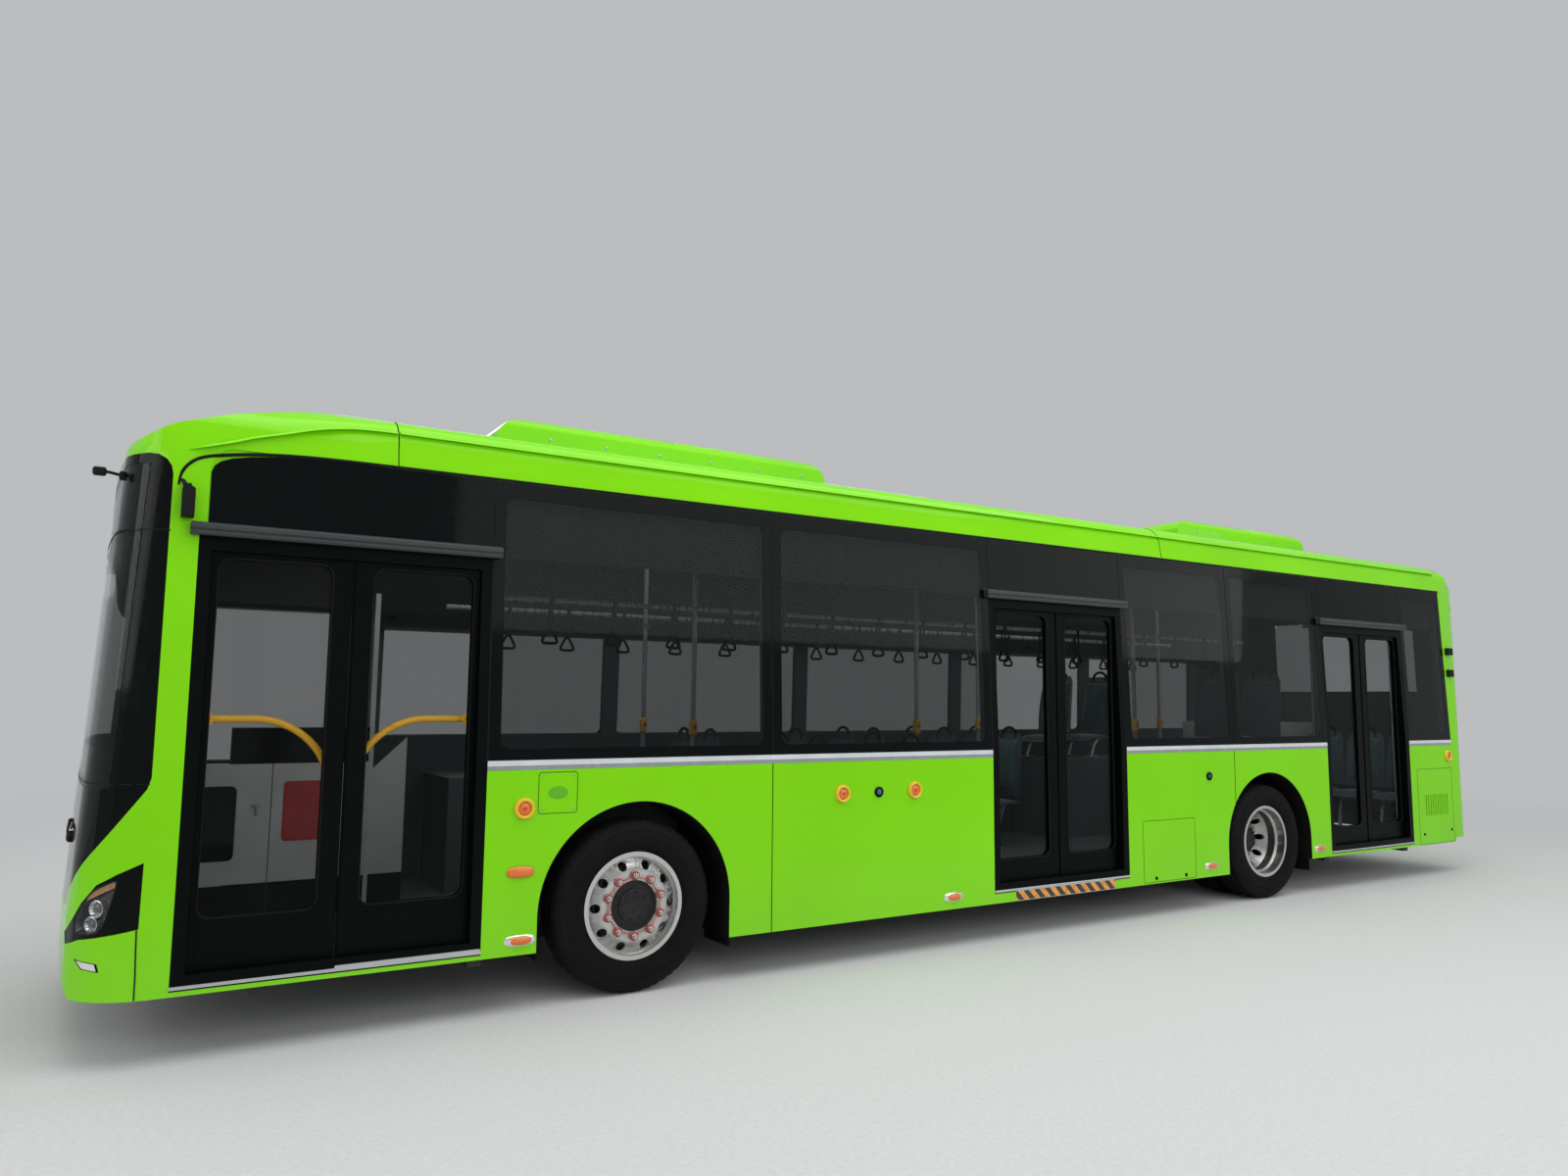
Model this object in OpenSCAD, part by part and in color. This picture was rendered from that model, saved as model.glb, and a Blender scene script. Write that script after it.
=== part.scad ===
// Low-floor city bus with three double doors, at full size in millimetres.
// X points forward, Y to the door side and Z up. The origin is on the ground under the middle.

/* [Body] */
// Width over the side panels
body_w = 2500; // [2440:5:2550]
// Front axle to the nose
front_overhang = 2720; // [2640:5:2800]
// Front axle to rear axle
wheelbase = 5880; // [5700:10:6060]
// Rear axle to the tail
rear_overhang = 3400; // [3300:10:3500]
// Lower edge of the side panels between the axles
skirt_z = 253; // [225:1:280]
// Lower edge of the side panels at both ends
end_skirt_z = 297; // [280:1:310]
// Lower edge of the side windows
belt_z = 1307; // [1260:1:1350]
// Upper edge of the side windows
cantrail_z = 2811; // [2780:1:2850]
// Height of the roof panel at its middle
roof_z = 3125; // [3100:1:3180]
// How far a side leans in between the belt and the top of the windows
tumblehome = 50; // [35:1:60]
// Radius of the roof's long edges
roof_edge_r = 170; // [150:1:185]
// Radius of the body's front corners in plan
nose_r = 340; // [310:1:370]
// How much the front bulges from its corners to its middle
nose_bulge = 36; // [20:1:50]
// How far the windscreen leans back, in degrees
screen_lean = 2.6; // [1.5:0.1:3.5]
// Radius of the body's rear corners in plan
tail_r = 230; // [180:1:280]
// Thickness of the side walls
wall_t = 50; // [40:1:60]
// Thickness of the body's bonded glass
glass_t = 6; // [5:0.5:8]
// Width of a pillar behind a joint between two panes
pillar_w = 110; // [80:1:140]
// Height of the floor above the ground
floor_z = 340; // [330:1:350]
// Thickness of the floor deck
deck_t = 36; // [28:1:40]

/* [Doors] */
// Width of a doorway over its frame
portal_w = 1390; // [1340:5:1420]
// Top of the doorway's frame
portal_top = 2440; // [2420:1:2460]
// Bottom of the doorway's frame
portal_bottom = 318; // [312:1:324]
// Width of a post of the frame
post_w = 38; // [32:1:44]
// Height of the frame's sill
sill_h = 26; // [22:1:30]
// Middle of doorway 1 ahead of the front axle
door1_ahead = 1575; // [1560:1:1590]
// Middle of doorway 2 behind the front axle
door2_behind = 3385; // [3330:1:3440]
// Middle of doorway 3 behind the rear axle
door3_behind = 1585; // [1560:1:1620]
// Thickness of a door leaf
leaf_t = 32; // [28:1:36]
// Top of the door leaves
leaf_top = 2330; // [2315:1:2334]
// Gap between a leaf's outer end and its post
leaf_gap = 6; // [5.5:0.5:9]
// Gap between the two leaves of a doorway
meet_gap = 16; // [15:0.5:22]
// How far the outer face of a leaf lies inside the belt's outer face
leaf_inset = 60; // [57:1:64]
// Width of a leaf's stile on the outer side
outer_stile = 42; // [36:1:48]
// Width of a leaf's stile on the meeting side
inner_stile = 84; // [70:1:95]
// Diameter of a turning column
column_d = 30; // [26:1:32]
// Distance of a column's axis inside the middle of the leaf
column_set = 55; // [53:1:58]
// Thickness of an arm
arm_t = 12; // [10:0.5:13]
// Running gap between a leaf and its arms
arm_gap = 7; // [6:0.5:8]

/* [Wheels] */
// Outer radius of a tyre
tyre_r = 479; // [470:1:485]
// Width of a tyre
tyre_w = 276; // [265:1:285]
// Radius of the rim where the bead sits
bead_r = 286; // [284:0.5:288]
// Height of the rim's flange above the bead
flange_h = 12.5; // [11:0.5:14]
// Width of a rim over its flanges
rim_w = 224; // [210:1:234]
// Distance between the tyres of a twin wheel, middle to middle
twin_pitch = 311; // [306:1:316]
// Outer side wall of the tyres inside the belt's outer face
tyre_inset = 30; // [25:1:40]
// Radius of the wheel arches
arch_r = 585; // [575:1:600]
// Number of hand holes and of wheel studs
stud_n = 10; // [8:1:12]
// Pitch circle diameter of the studs
stud_pcd = 335; // [325:1:340]
// Distance from a kingpin to the middle of its wheel
kingpin_set = 177; // [170:1:190]
// Radius of a kingpin
kingpin_r = 22; // [18:0.5:26]
// Radius of the spindle that carries a front wheel
spindle_r = 45; // [40:1:50]

/* [Roof units] */
// Height of the roof units' tops above the ground
unit_top = 3290; // [3260:1:3320]
// Width of the roof units
unit_w = 1640; // [1500:10:1700]

/* [Seats] */
// Width of one seat
seat_w = 430; // [410:5:445]
// Height of a seat cushion above its floor
seat_h = 440; // [420:5:460]
// Height of a seat's back above its cushion
back_h = 620; // [560:5:680]

/* [Hidden] */
$fn = 48;

fit = 0.3;
far = 7000;
half_w = body_w / 2;
top_w = half_w - tumblehome;
inner_w = half_w - wall_t;
body_len = front_overhang + wheelbase + rear_overhang;
nose_x = body_len / 2;
tail_x = nose_x - body_len;
front_axle_x = nose_x - front_overhang;
rear_axle_x = tail_x + rear_overhang;
door_x = [front_axle_x + door1_ahead, front_axle_x - door2_behind, rear_axle_x - door3_behind];
door_glass_z = [610, 530, 530];
portal_half = portal_w / 2;

green = [0.49, 0.85, 0.05];
black = [0.04, 0.04, 0.045];
grey = [0.36, 0.38, 0.39];

// Points of an arc about c, from angle a0 to a1 in n steps
function arc(c, r, a0, a1, n) =
    [for (i = [0:n]) let (a = a0 + (a1 - a0) * i / n) c + r * [cos(a), sin(a)]];
function mirror_x(pts) = [for (i = [len(pts) - 1:-1:0]) [-pts[i][0], pts[i][1]]];

// An outline in X and Z carried along Y from y0 to y1
module along_y(y0, y1) {
    translate([0, y1, 0]) rotate([90, 0, 0]) linear_extrude(y1 - y0) children();
}

// An outline in Y and Z carried along X from x0 to x1
module along_x(x0, x1) {
    translate([x0, 0, 0]) rotate([90, 0, 90]) linear_extrude(x1 - x0) children();
}

module box(x0, x1, y0, y1, z0, z1) {
    translate([x0, y0, z0]) cube([x1 - x0, y1 - y0, z1 - z0]);
}

module rect(x0, x1, z0, z1) {
    translate([x0, z0]) square([x1 - x0, z1 - z0]);
}

module both_sides() {
    children();
    mirror([0, 1, 0]) children();
}

// Cross-section of the body, t inside the outer face: side, lean, roof edge and crown
crease_z = cantrail_z + 114;
crease_w = top_w - 20;
edge_c = [crease_w - roof_edge_r, crease_z];
function half_section(t) = concat(
    [[half_w - t, 0], [half_w - t, belt_z], [top_w - t, cantrail_z]],
    arc(edge_c, roof_edge_r - t, 0, 82, 6),
    [[edge_c[0] * 0.55, roof_z - 9 - t]]
);
module section(t) {
    polygon(concat(half_section(t), [[0, roof_z - t]], mirror_x(half_section(t))));
}

// Outline of the front in plan: side, corner and bulge, t inside the outer face
corner_y = half_w - nose_r;
bulge_r = (corner_y * corner_y + nose_bulge * nose_bulge) / (2 * nose_bulge);
function bulge_x(y) = nose_x - bulge_r + sqrt(bulge_r * bulge_r - y * y);
corner_c = [bulge_x(corner_y) - nose_r, corner_y];
module nose_plan(t) {
    half = concat(
        [for (y = [0, 0.35, 0.7]) [bulge_x(y * corner_y) - t, y * corner_y]],
        arc(corner_c, nose_r - t, 0, 90, 7),
        [[nose_x - 3000, half_w - t]]
    );
    polygon(concat(half, [for (i = [len(half) - 1:-1:1]) [half[i][0], -half[i][1]]]));
}

// Side profile of the front: bumper, windscreen and the falling front of the roof
bumper_z = 620;
screen_top_z = 2760;
screen_run = (screen_top_z - bumper_z) * tan(screen_lean);
module nose_profile(t) {
    polygon([
        [nose_x - 3000, 0], [nose_x - 110 - t, 0], [nose_x - 70 - t, end_skirt_z],
        [nose_x - 6 - t, 430], [nose_x + 1 - t, bumper_z],
        [nose_x - screen_run - t, screen_top_z],
        [nose_x - screen_run - 60 - t, screen_top_z + 55 - t],
        [nose_x - 330 - t, roof_z - 213 - t], [nose_x - 560 - t, roof_z - 135 - t],
        [nose_x - 900 - t, roof_z - 55 - t], [nose_x - 1250, roof_z - 8 - t],
        [nose_x - 1600, roof_z + 1 - t], [nose_x - 3000, roof_z + 1 - t]
    ]);
}

// The front of the body as a solid, t inside the outer face
module nose_solid(t) {
    intersection() {
        along_x(nose_x - 2900, nose_x + 50) section(t);
        along_y(-far, far) nose_profile(t);
        union() {
            linear_extrude(bumper_z + 20) nose_plan(t);
            translate([nose_x, 0, bumper_z]) rotate([0, -screen_lean, 0])
                translate([-nose_x, 0, 0]) linear_extrude(3000) nose_plan(t);
        }
    }
}

// The rear of the body as a solid, t inside the outer face
tail_lean = 60;
module tail_plan(t) {
    polygon(concat(
        [[tail_x + 2900, -half_w + t]],
        [for (p = arc([tail_x + tail_r, -half_w + tail_r], tail_r - t, 270, 180, 6)) p],
        [for (p = arc([tail_x + tail_r, half_w - tail_r], tail_r - t, 180, 90, 6)) p],
        [[tail_x + 2900, half_w - t]]
    ));
}
module tail_profile(t) {
    polygon([
        [tail_x + 2900, 0], [tail_x + 140 + t, 0], [tail_x + 120 + t, 500],
        [tail_x + 20 + t, 560], [tail_x + t, 1100], [tail_x + 30 + t, 1800],
        [tail_x + tail_lean + t, cantrail_z], [tail_x + tail_lean + 60 + t, roof_z - 125 - t],
        [tail_x + 260 + t, roof_z - 45 - t], [tail_x + 620, roof_z + 1 - t],
        [tail_x + 2900, roof_z + 1 - t]
    ]);
}
module tail_solid(t) {
    intersection() {
        along_x(tail_x - 50, tail_x + 2800) section(t);
        along_y(-far, far) tail_profile(t);
        linear_extrude(3400) tail_plan(t);
    }
}

// The plain middle of the body as a solid, t inside the outer face
module mid_solid(t, x0, x1) {
    along_x(x0, x1) section(t);
}

// Where the body's panels meet
pillar_x = door_x[0] + portal_half;
mask_x = nose_x - 328;
cap_x = nose_x - 1335;
tail_join = tail_x + 330;
glass_front_x = pillar_x - 30;
split_left = [front_axle_x - 876, rear_axle_x + 460];

// Panes on the door side: front x, rear x, lower z
pane_gap = 8;
over_door_z = portal_top + 6;
left_panes = [
    [glass_front_x, door_x[0] - portal_half, over_door_z],
    [door_x[0] - portal_half, split_left[0], belt_z],
    [split_left[0], door_x[1] + portal_half, belt_z],
    [door_x[1] + portal_half, door_x[1] - portal_half, over_door_z],
    [door_x[1] - portal_half, split_left[1], belt_z],
    [split_left[1], door_x[2] + portal_half, belt_z],
    [door_x[2] + portal_half, door_x[2] - portal_half, over_door_z],
    [door_x[2] - portal_half, tail_join, belt_z]
];
// Panes on the driver's side: front x, rear x, lower z
cab_sill_z = 1150;
right_n = 5;
right_x = [nose_x - 1720, door_x[2] - portal_half];
right_pitch = (right_x[0] - right_x[1]) / right_n;
right_panes = concat(
    [[glass_front_x, right_x[0], cab_sill_z]],
    [for (i = [0:right_n - 1]) [right_x[0] - right_pitch * i, right_x[0] - right_pitch * (i + 1), belt_z]]
);

// The foremost pane of a side has a round upper front corner
glass_corner_r = 110;
module pane_outline(p, inset) {
    x0 = p[1] + pane_gap / 2 + inset;
    x1 = p[0] - pane_gap / 2 - inset;
    z1 = cantrail_z - inset;
    r = glass_corner_r - inset;
    if (p[0] == glass_front_x) polygon(concat(
        [[x0, z1], [x0, p[2] + inset], [x1, p[2] + inset]],
        arc([x1 - r, z1 - r], r, 0, 90, 5)
    ));
    else rect(x0, x1, p[2] + inset, z1);
}

module arch_outline(x) {
    translate([x, tyre_r]) circle(r = arch_r, $fn = 64);
    rect(x - arch_r, x + arch_r, 0, tyre_r);
}

// Lower edge of a side wall: high at both ends and low between the axles
module skirt_outline() {
    rect(front_axle_x, pillar_x, end_skirt_z, cantrail_z);
    rect(rear_axle_x, front_axle_x, skirt_z, cantrail_z);
    rect(tail_join, rear_axle_x, end_skirt_z, cantrail_z);
}

// A side wall: shell between the inner and outer faces, glass rebate, windows and arches
module side_wall(panes) {
    difference() {
        intersection() {
            difference() {
                mid_solid(0, tail_join, pillar_x);
                mid_solid(wall_t, tail_join - 10, pillar_x + 10);
            }
            along_y(half_w - 400, half_w + 100) skirt_outline();
        }
        for (p = panes) {
            difference() {
                along_y(half_w - 400, half_w + 100) pane_outline(p, -pane_gap / 2);
                mid_solid(glass_t + fit, tail_join - 10, pillar_x + 10);
            }
            along_y(half_w - 400, half_w + 100) pane_outline(p, pillar_w / 2);
        }
        for (x = [front_axle_x, rear_axle_x]) {
            along_y(half_w - 400, half_w + 100) arch_outline(x);
        }
    }
}

// Slots that let air into the rear compartment
slot_n = 10;
slot_z = [575, 775];
slot_panel = door_x[2] - portal_half - tail_join;
slot_pitch = slot_panel / 18;
module air_slots() {
    for (i = [0:slot_n - 1]) {
        translate([tail_join + slot_panel / 6 + slot_pitch * i, half_w - wall_t - 10, slot_z[0]])
            cube([slot_pitch * 0.4, wall_t + 20, slot_z[1] - slot_z[0]]);
    }
}

module left_side() {
    color(green) difference() {
        side_wall(left_panes);
        air_slots();
        for (x = door_x) {
            along_y(half_w - 400, half_w + 100)
                rect(x - portal_half, x + portal_half, portal_bottom, portal_top);
        }
    }
}

module right_side() {
    color(green) mirror([0, 1, 0]) side_wall(right_panes);
}

module pane(p) {
    intersection() {
        difference() {
            mid_solid(0, tail_join - 10, pillar_x + 10);
            mid_solid(glass_t, tail_join - 20, pillar_x + 20);
        }
        along_y(half_w - 400, half_w + 100) pane_outline(p, 0);
    }
}

// Bonded side windows on both sides and the rear window
rear_glass_w = 860;
rear_glass_z = [1750, 2640];
module rear_glass_outline(inset) {
    translate([-rear_glass_w + inset, rear_glass_z[0] + inset])
        square([2 * (rear_glass_w - inset), rear_glass_z[1] - rear_glass_z[0] - 2 * inset]);
}
module windows() {
    color(black) {
        for (p = left_panes) pane(p);
        for (p = right_panes) mirror([0, 1, 0]) pane(p);
        intersection() {
            difference() {
                tail_solid(0);
                tail_solid(glass_t);
            }
            along_x(tail_x - 100, tail_x + 200) rear_glass_outline(fit);
        }
    }
}

module roof() {
    color(green) intersection() {
        difference() {
            mid_solid(0, tail_join, cap_x);
            mid_solid(wall_t, tail_join - 10, cap_x + 10);
        }
        box(tail_join, cap_x, -far, far, cantrail_z, far);
    }
}

// Green cap over the windscreen, with the front ends of both cantrails
module front_cap() {
    color(green) intersection() {
        difference() {
            nose_solid(0);
            nose_solid(wall_t);
        }
        along_y(-far, far) polygon([
            [cap_x, cantrail_z], [pillar_x, cantrail_z], [pillar_x, screen_top_z],
            [nose_x + 100, screen_top_z], [nose_x + 100, far], [cap_x, far]
        ]);
    }
}

// Edge of the black mask: round upper corner, down the pillar, then forward in a sweep to the bumper
mask_corner_r = 100;
sweep_r = 450;
sweep_a = 34.5;
sweep_c = [nose_x - 36 - sweep_r, bumper_z + 50];
sweep_run = sweep_c[0] + sweep_r * cos(sweep_a) - mask_x;
sweep_z = sweep_c[1] + sweep_r * sin(sweep_a) + sweep_run / tan(sweep_a);
function mask_edge() = concat(
    arc([mask_x + mask_corner_r, screen_top_z - mask_corner_r], mask_corner_r, 90, 180, 4),
    [[mask_x, sweep_z + 30], [mask_x + 14, sweep_z - 14 / tan(sweep_a)]],
    arc(sweep_c, sweep_r, sweep_a, 0, 5),
    [[nose_x + 100, sweep_c[1]]]
);
lamp_z = [524, 892];
module lamp_outline() {
    polygon([
        [mask_x + 10, lamp_z[0] + 80], [mask_x + 7, lamp_z[1]], [mask_x + 104, lamp_z[1] - 48],
        [mask_x + 180, lamp_z[1] - 96], [mask_x + 231, lamp_z[1] - 176], [nose_x - 40, lamp_z[0] + 50],
        [nose_x - 45, lamp_z[0]], [nose_x - 94, lamp_z[0] + 32]
    ]);
}

// Green corner panels and the bumper under the mask
module front_panel() {
    color(green) difference() {
        intersection() {
            difference() {
                nose_solid(0);
                nose_solid(wall_t);
            }
            along_y(-far, far) polygon(concat(
                [[pillar_x, end_skirt_z], [pillar_x, screen_top_z]],
                mask_edge(),
                [[nose_x + 100, end_skirt_z]]
            ));
        }
        both_sides() along_y(600, half_w + 100) lamp_outline();
    }
}

// Black surround of the windscreen, down to the bumper
screen_z = [1215, 2715];
screen_y = half_w - 95;
module screen_outline(inset) {
    translate([-screen_y + inset, screen_z[0] + inset])
        square([2 * (screen_y - inset), screen_z[1] - screen_z[0] - 2 * inset]);
}
module front_mask() {
    color(black) difference() {
        intersection() {
            difference() {
                nose_solid(0);
                nose_solid(wall_t);
            }
            along_y(-far, far) polygon(concat(
                mask_edge(), [[nose_x + 200, sweep_c[1]], [nose_x + 200, screen_top_z]]
            ));
        }
        along_x(mask_x + 40, nose_x + 100) screen_outline(0);
        both_sides() along_y(600, half_w + 100) lamp_outline();
    }
}

module windscreen() {
    color(grey) intersection() {
        difference() {
            nose_solid(0);
            nose_solid(glass_t);
        }
        along_x(mask_x + 40, nose_x + 100) screen_outline(0);
    }
}

// Rear panel with its window and the opening for the lamps
tail_lamp_z = [900, 1500];
tail_lamp_y = [1010, 1130];
module tail_lamp_outline(inset) {
    rect(tail_lamp_y[0] + inset, tail_lamp_y[1] - inset, tail_lamp_z[0] + inset, tail_lamp_z[1] - inset);
}
module rear_end() {
    color(green) difference() {
        intersection() {
            difference() {
                tail_solid(0);
                tail_solid(wall_t);
            }
            box(tail_x - 100, tail_join, -far, far, end_skirt_z + 40, far);
        }
        along_x(tail_x - 100, tail_x + 300) rear_glass_outline(40);
        difference() {
            along_x(tail_x - 100, tail_x + 200) rear_glass_outline(0);
            tail_solid(glass_t + fit);
        }
        both_sides() along_x(tail_x - 100, tail_x + 300) tail_lamp_outline(0);
    }
}

// Two-part fairings on the roof: front x and rear x from the nose
unit_table = [[1940, 4270], [8040, 9960]];
unit_seam = 22;
module roof_units() {
    color(green) for (u = unit_table) {
        x0 = nose_x - u[1];
        x1 = nose_x - u[0];
        difference() {
            intersection() {
                along_x(x0, x1) polygon(concat(
                    [[unit_w / 2, roof_z - 100]],
                    arc([unit_w / 2 - 70, unit_top - 70], 70, 0, 90, 4),
                    mirror_x(arc([unit_w / 2 - 70, unit_top - 70], 70, 0, 90, 4)),
                    [[-unit_w / 2, roof_z - 100]]
                ));
                along_y(-far, far) polygon([
                    [x0, roof_z - 100], [x0 + 15, unit_top - 95], [x0 + 70, unit_top - 35],
                    [x0 + 190, unit_top + 1], [x1 - 190, unit_top + 1],
                    [x1 - 70, unit_top - 35], [x1 - 15, unit_top - 95], [x1, roof_z - 100]
                ]);
            }
            mid_solid(0, x0 - 10, x1 + 10);
            box((x0 + x1) / 2 - 4, (x0 + x1) / 2 + 4, -far, far, unit_top - unit_seam, far);
        }
    }
}

// Doorway geometry, in plan from a leaf's outer end: u towards the middle, v inward
leaf_w = (portal_w - 2 * post_w - 2 * leaf_gap - meet_gap) / 2;
leaf_y = half_w - leaf_inset - leaf_t / 2;
column_r = column_d / 2;
reach = leaf_w / 2 + column_r + 7;
arm_u = sqrt(reach * reach - column_set * column_set);
column_u = leaf_w / 2 - arm_u;
guide_in = 22;
guide_u = leaf_w / 2 - guide_in;
opening_z0 = portal_bottom + sill_h;
arm_low_z = opening_z0 + 8;
leaf_bottom = arm_low_z + arm_t + arm_gap;
arm_high_z = leaf_top + arm_gap;
guide_z = arm_high_z + arm_t + 9;
guide_h = 36;
opening_z1 = guide_z + guide_h;
column_y = leaf_y - column_set;
portal_in_y = column_y + column_r + 6;
leaf_end = portal_half - post_w - leaf_gap;
pin_r = 7;
roller_r = 8;
slot_gap = 2;
boss_r = 20;

// Path of a leaf's guide roller while its column turns by a
function roller(a) = [
    column_u + (arm_u + guide_u) * cos(a) + column_set * sin(a),
    column_set * (1 - cos(a)) + (arm_u - guide_u) * sin(a)
];
function roller_dir(a) = let (d = roller(a + 0.5) - roller(a - 0.5)) d / norm(d);
function side_of(d) = [-d[1], d[0]];

// Puts a piece drawn in u, v and z into a doorway: side 1 is the front leaf, -1 the rear one
module in_doorway(i, side) {
    translate([door_x[i] + side * leaf_end, leaf_y, 0]) {
        if (side > 0) rotate([0, 0, 180]) children();
        else mirror([0, 1, 0]) children();
    }
}

module door_column(i, side) {
    color(grey) in_doorway(i, side) {
        translate([column_u, column_set, arm_low_z])
            cylinder(r = column_r, h = arm_high_z + arm_t + 2 - arm_low_z);
        translate([column_u, column_set, floor_z + 2]) cylinder(r = roller_r, h = guide_z + 12 - floor_z);
        arm_angle = atan2(-column_set, arm_u);
        for (z = [arm_low_z, arm_high_z]) {
            translate([column_u, column_set, z]) rotate([0, 0, arm_angle]) {
                linear_extrude(arm_t) difference() {
                    union() {
                        translate([0, -13]) square([reach, 26]);
                        translate([reach, 0]) circle(r = 18);
                    }
                    translate([reach, 0]) circle(r = pin_r + fit);
                }
            }
        }
    }
}

// A leaf's frame with its window cut, hinge pins, roller and, at the front doors, its rail
module door_leaf(i, side) {
    glass_z1 = leaf_top - 40;
    color(black) in_doorway(i, side) {
        difference() {
            box(0, leaf_w, -leaf_t / 2, leaf_t / 2, leaf_bottom, leaf_top);
            along_y(-leaf_t, leaf_t) rect(outer_stile, leaf_w - inner_stile, door_glass_z[i], glass_z1);
        }
        for (z = [arm_low_z + 1, leaf_top - 1]) {
            translate([leaf_w / 2, 0, z]) cylinder(r = pin_r, h = leaf_bottom - arm_low_z);
        }
        translate([leaf_w / 2 + guide_u, 0, leaf_top - 1]) cylinder(r = roller_r, h = guide_z + 24 - leaf_top);
    }
    if (i == 0) color([0.98, 0.68, 0.05]) in_doorway(i, side) door_rail();
}

// Yellow rail that curves down from the outer stile to the meeting stile
rail_r = 16;
rail_z = [1165, 1525];
rail_off = leaf_t / 2 + 60;
module door_rail() {
    bend = rail_z[1] - rail_z[0];
    x0 = outer_stile / 2;
    x1 = leaf_w - inner_stile / 2;
    translate([x1 - bend, rail_off, rail_z[0]]) rotate([90, 0, 0])
        rotate_extrude(angle = 90) translate([bend, 0]) circle(r = rail_r);
    translate([x0, rail_off, rail_z[1]]) rotate([0, 90, 0]) cylinder(r = rail_r, h = x1 - bend - x0);
    translate([x0 + rail_r, leaf_t / 2, rail_z[1]]) rotate([-90, 0, 0])
        cylinder(r = rail_r, h = rail_off - leaf_t / 2);
    translate([x1, leaf_t / 2, rail_z[0]]) rotate([-90, 0, 0]) cylinder(r = rail_r, h = rail_off - leaf_t / 2 + rail_r);
}

module door_glass(i, side) {
    glass_z1 = leaf_top - 40;
    color(grey, 0.5) in_doorway(i, side) {
        along_y(-5, 5) rect(outer_stile + fit, leaf_w - inner_stile - fit, door_glass_z[i] + fit, glass_z1 - fit);
    }
}

// Frame of each doorway with an outer lip that covers the gap round the leaves
lip = 14;
module door_portals() {
    color(black) for (x = door_x) {
        intersection() {
            mid_solid(2, x - portal_half, x + portal_half);
            difference() {
                along_y(portal_in_y, half_w)
                    rect(x - portal_half, x + portal_half, portal_bottom, portal_top);
                along_y(0, half_w + 50)
                    rect(x - leaf_end + lip, x + leaf_end - lip, leaf_bottom + lip, leaf_top - lip);
                along_y(0, leaf_y + leaf_t / 2 + 6)
                    rect(x - portal_half + post_w, x + portal_half - post_w, opening_z0, opening_z1);
            }
        }
    }
}

// Guide channel over each doorway: two curved slots for the rollers and two column bearings,
// with the floor bearings of the columns below
module door_guides() {
    steps = [for (a = [7:6:91]) a];
    half_slot = roller_r + slot_gap;
    color(grey) for (i = [0:2]) {
        difference() {
            box(door_x[i] - portal_half, door_x[i] + portal_half, column_y - 60,
                leaf_y + leaf_t / 2 + 5, guide_z, opening_z1 - fit);
            for (side = [-1, 1]) in_doorway(i, side) {
                translate([0, 0, guide_z - 1]) linear_extrude(guide_h - 8) {
                    polygon(concat(
                        [for (a = steps) roller(a) + half_slot * side_of(roller_dir(a))],
                        [for (j = [len(steps) - 1:-1:0]) let (a = steps[j])
                            roller(a) - half_slot * side_of(roller_dir(a))]
                    ));
                    translate(roller(4)) circle(r = half_slot + 4);
                    translate(roller(90)) circle(r = half_slot + 1.5);
                }
                translate([column_u, column_set, guide_z - 1]) cylinder(r = roller_r + fit, h = 20);
            }
            for (side = [-1, 1]) {
                box(door_x[i] + side * (portal_half - post_w / 2) - post_w / 2 - 1,
                    door_x[i] + side * (portal_half - post_w / 2) + post_w / 2 + 1,
                    portal_in_y, half_w, guide_z - 1, opening_z1 + 1);
            }
        }
        for (side = [-1, 1]) in_doorway(i, side) {
            translate([column_u, column_set, floor_z]) difference() {
                cylinder(r = boss_r, h = arm_low_z - floor_z - fit);
                translate([0, 0, 1]) cylinder(r = roller_r + fit, h = 20);
            }
        }
    }
}

module door_gutters() {
    color([0.5, 0.53, 0.54]) for (x = door_x) {
        difference() {
            box(x - portal_half - 35, x + portal_half + 35, half_w - 60, half_w + 6, portal_top - 58, portal_top);
            mid_solid(0, x - portal_half - 50, x + portal_half + 50);
        }
        along_x(x - portal_half + 1, x + portal_half - 1)
            rect(half_w - 2, half_w + 3, portal_bottom + 8, portal_bottom + 22);
    }
}

// Floor deck with the boxes over the wheels
box_wall = 15;
box_r = arch_r + 18;
box_top = tyre_r + arch_r + 20;
box_in = [front_axle_x, rear_axle_x];
box_in_y = [half_w - 765, half_w - 675];
module floor() {
    deck_front = nose_x - 420;
    color([0.2, 0.21, 0.22]) difference() {
        union() {
            box(tail_join, deck_front, -inner_w, inner_w, floor_z - deck_t, floor_z);
            for (k = [0, 1]) both_sides() {
                box(box_in[k] - box_r - box_wall, box_in[k] + box_r + box_wall, box_in_y[k], inner_w,
                    floor_z - deck_t, box_top + box_wall);
            }
        }
        for (k = [0, 1]) both_sides() {
            box(box_in[k] - box_r, box_in[k] + box_r, box_in_y[k] + box_wall, half_w,
                floor_z - deck_t - 10, box_top);
        }
        for (x = door_x) {
            box(x - portal_half, x + portal_half, portal_in_y, half_w, floor_z - deck_t - 1, floor_z + 1);
        }
    }
}

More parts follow.
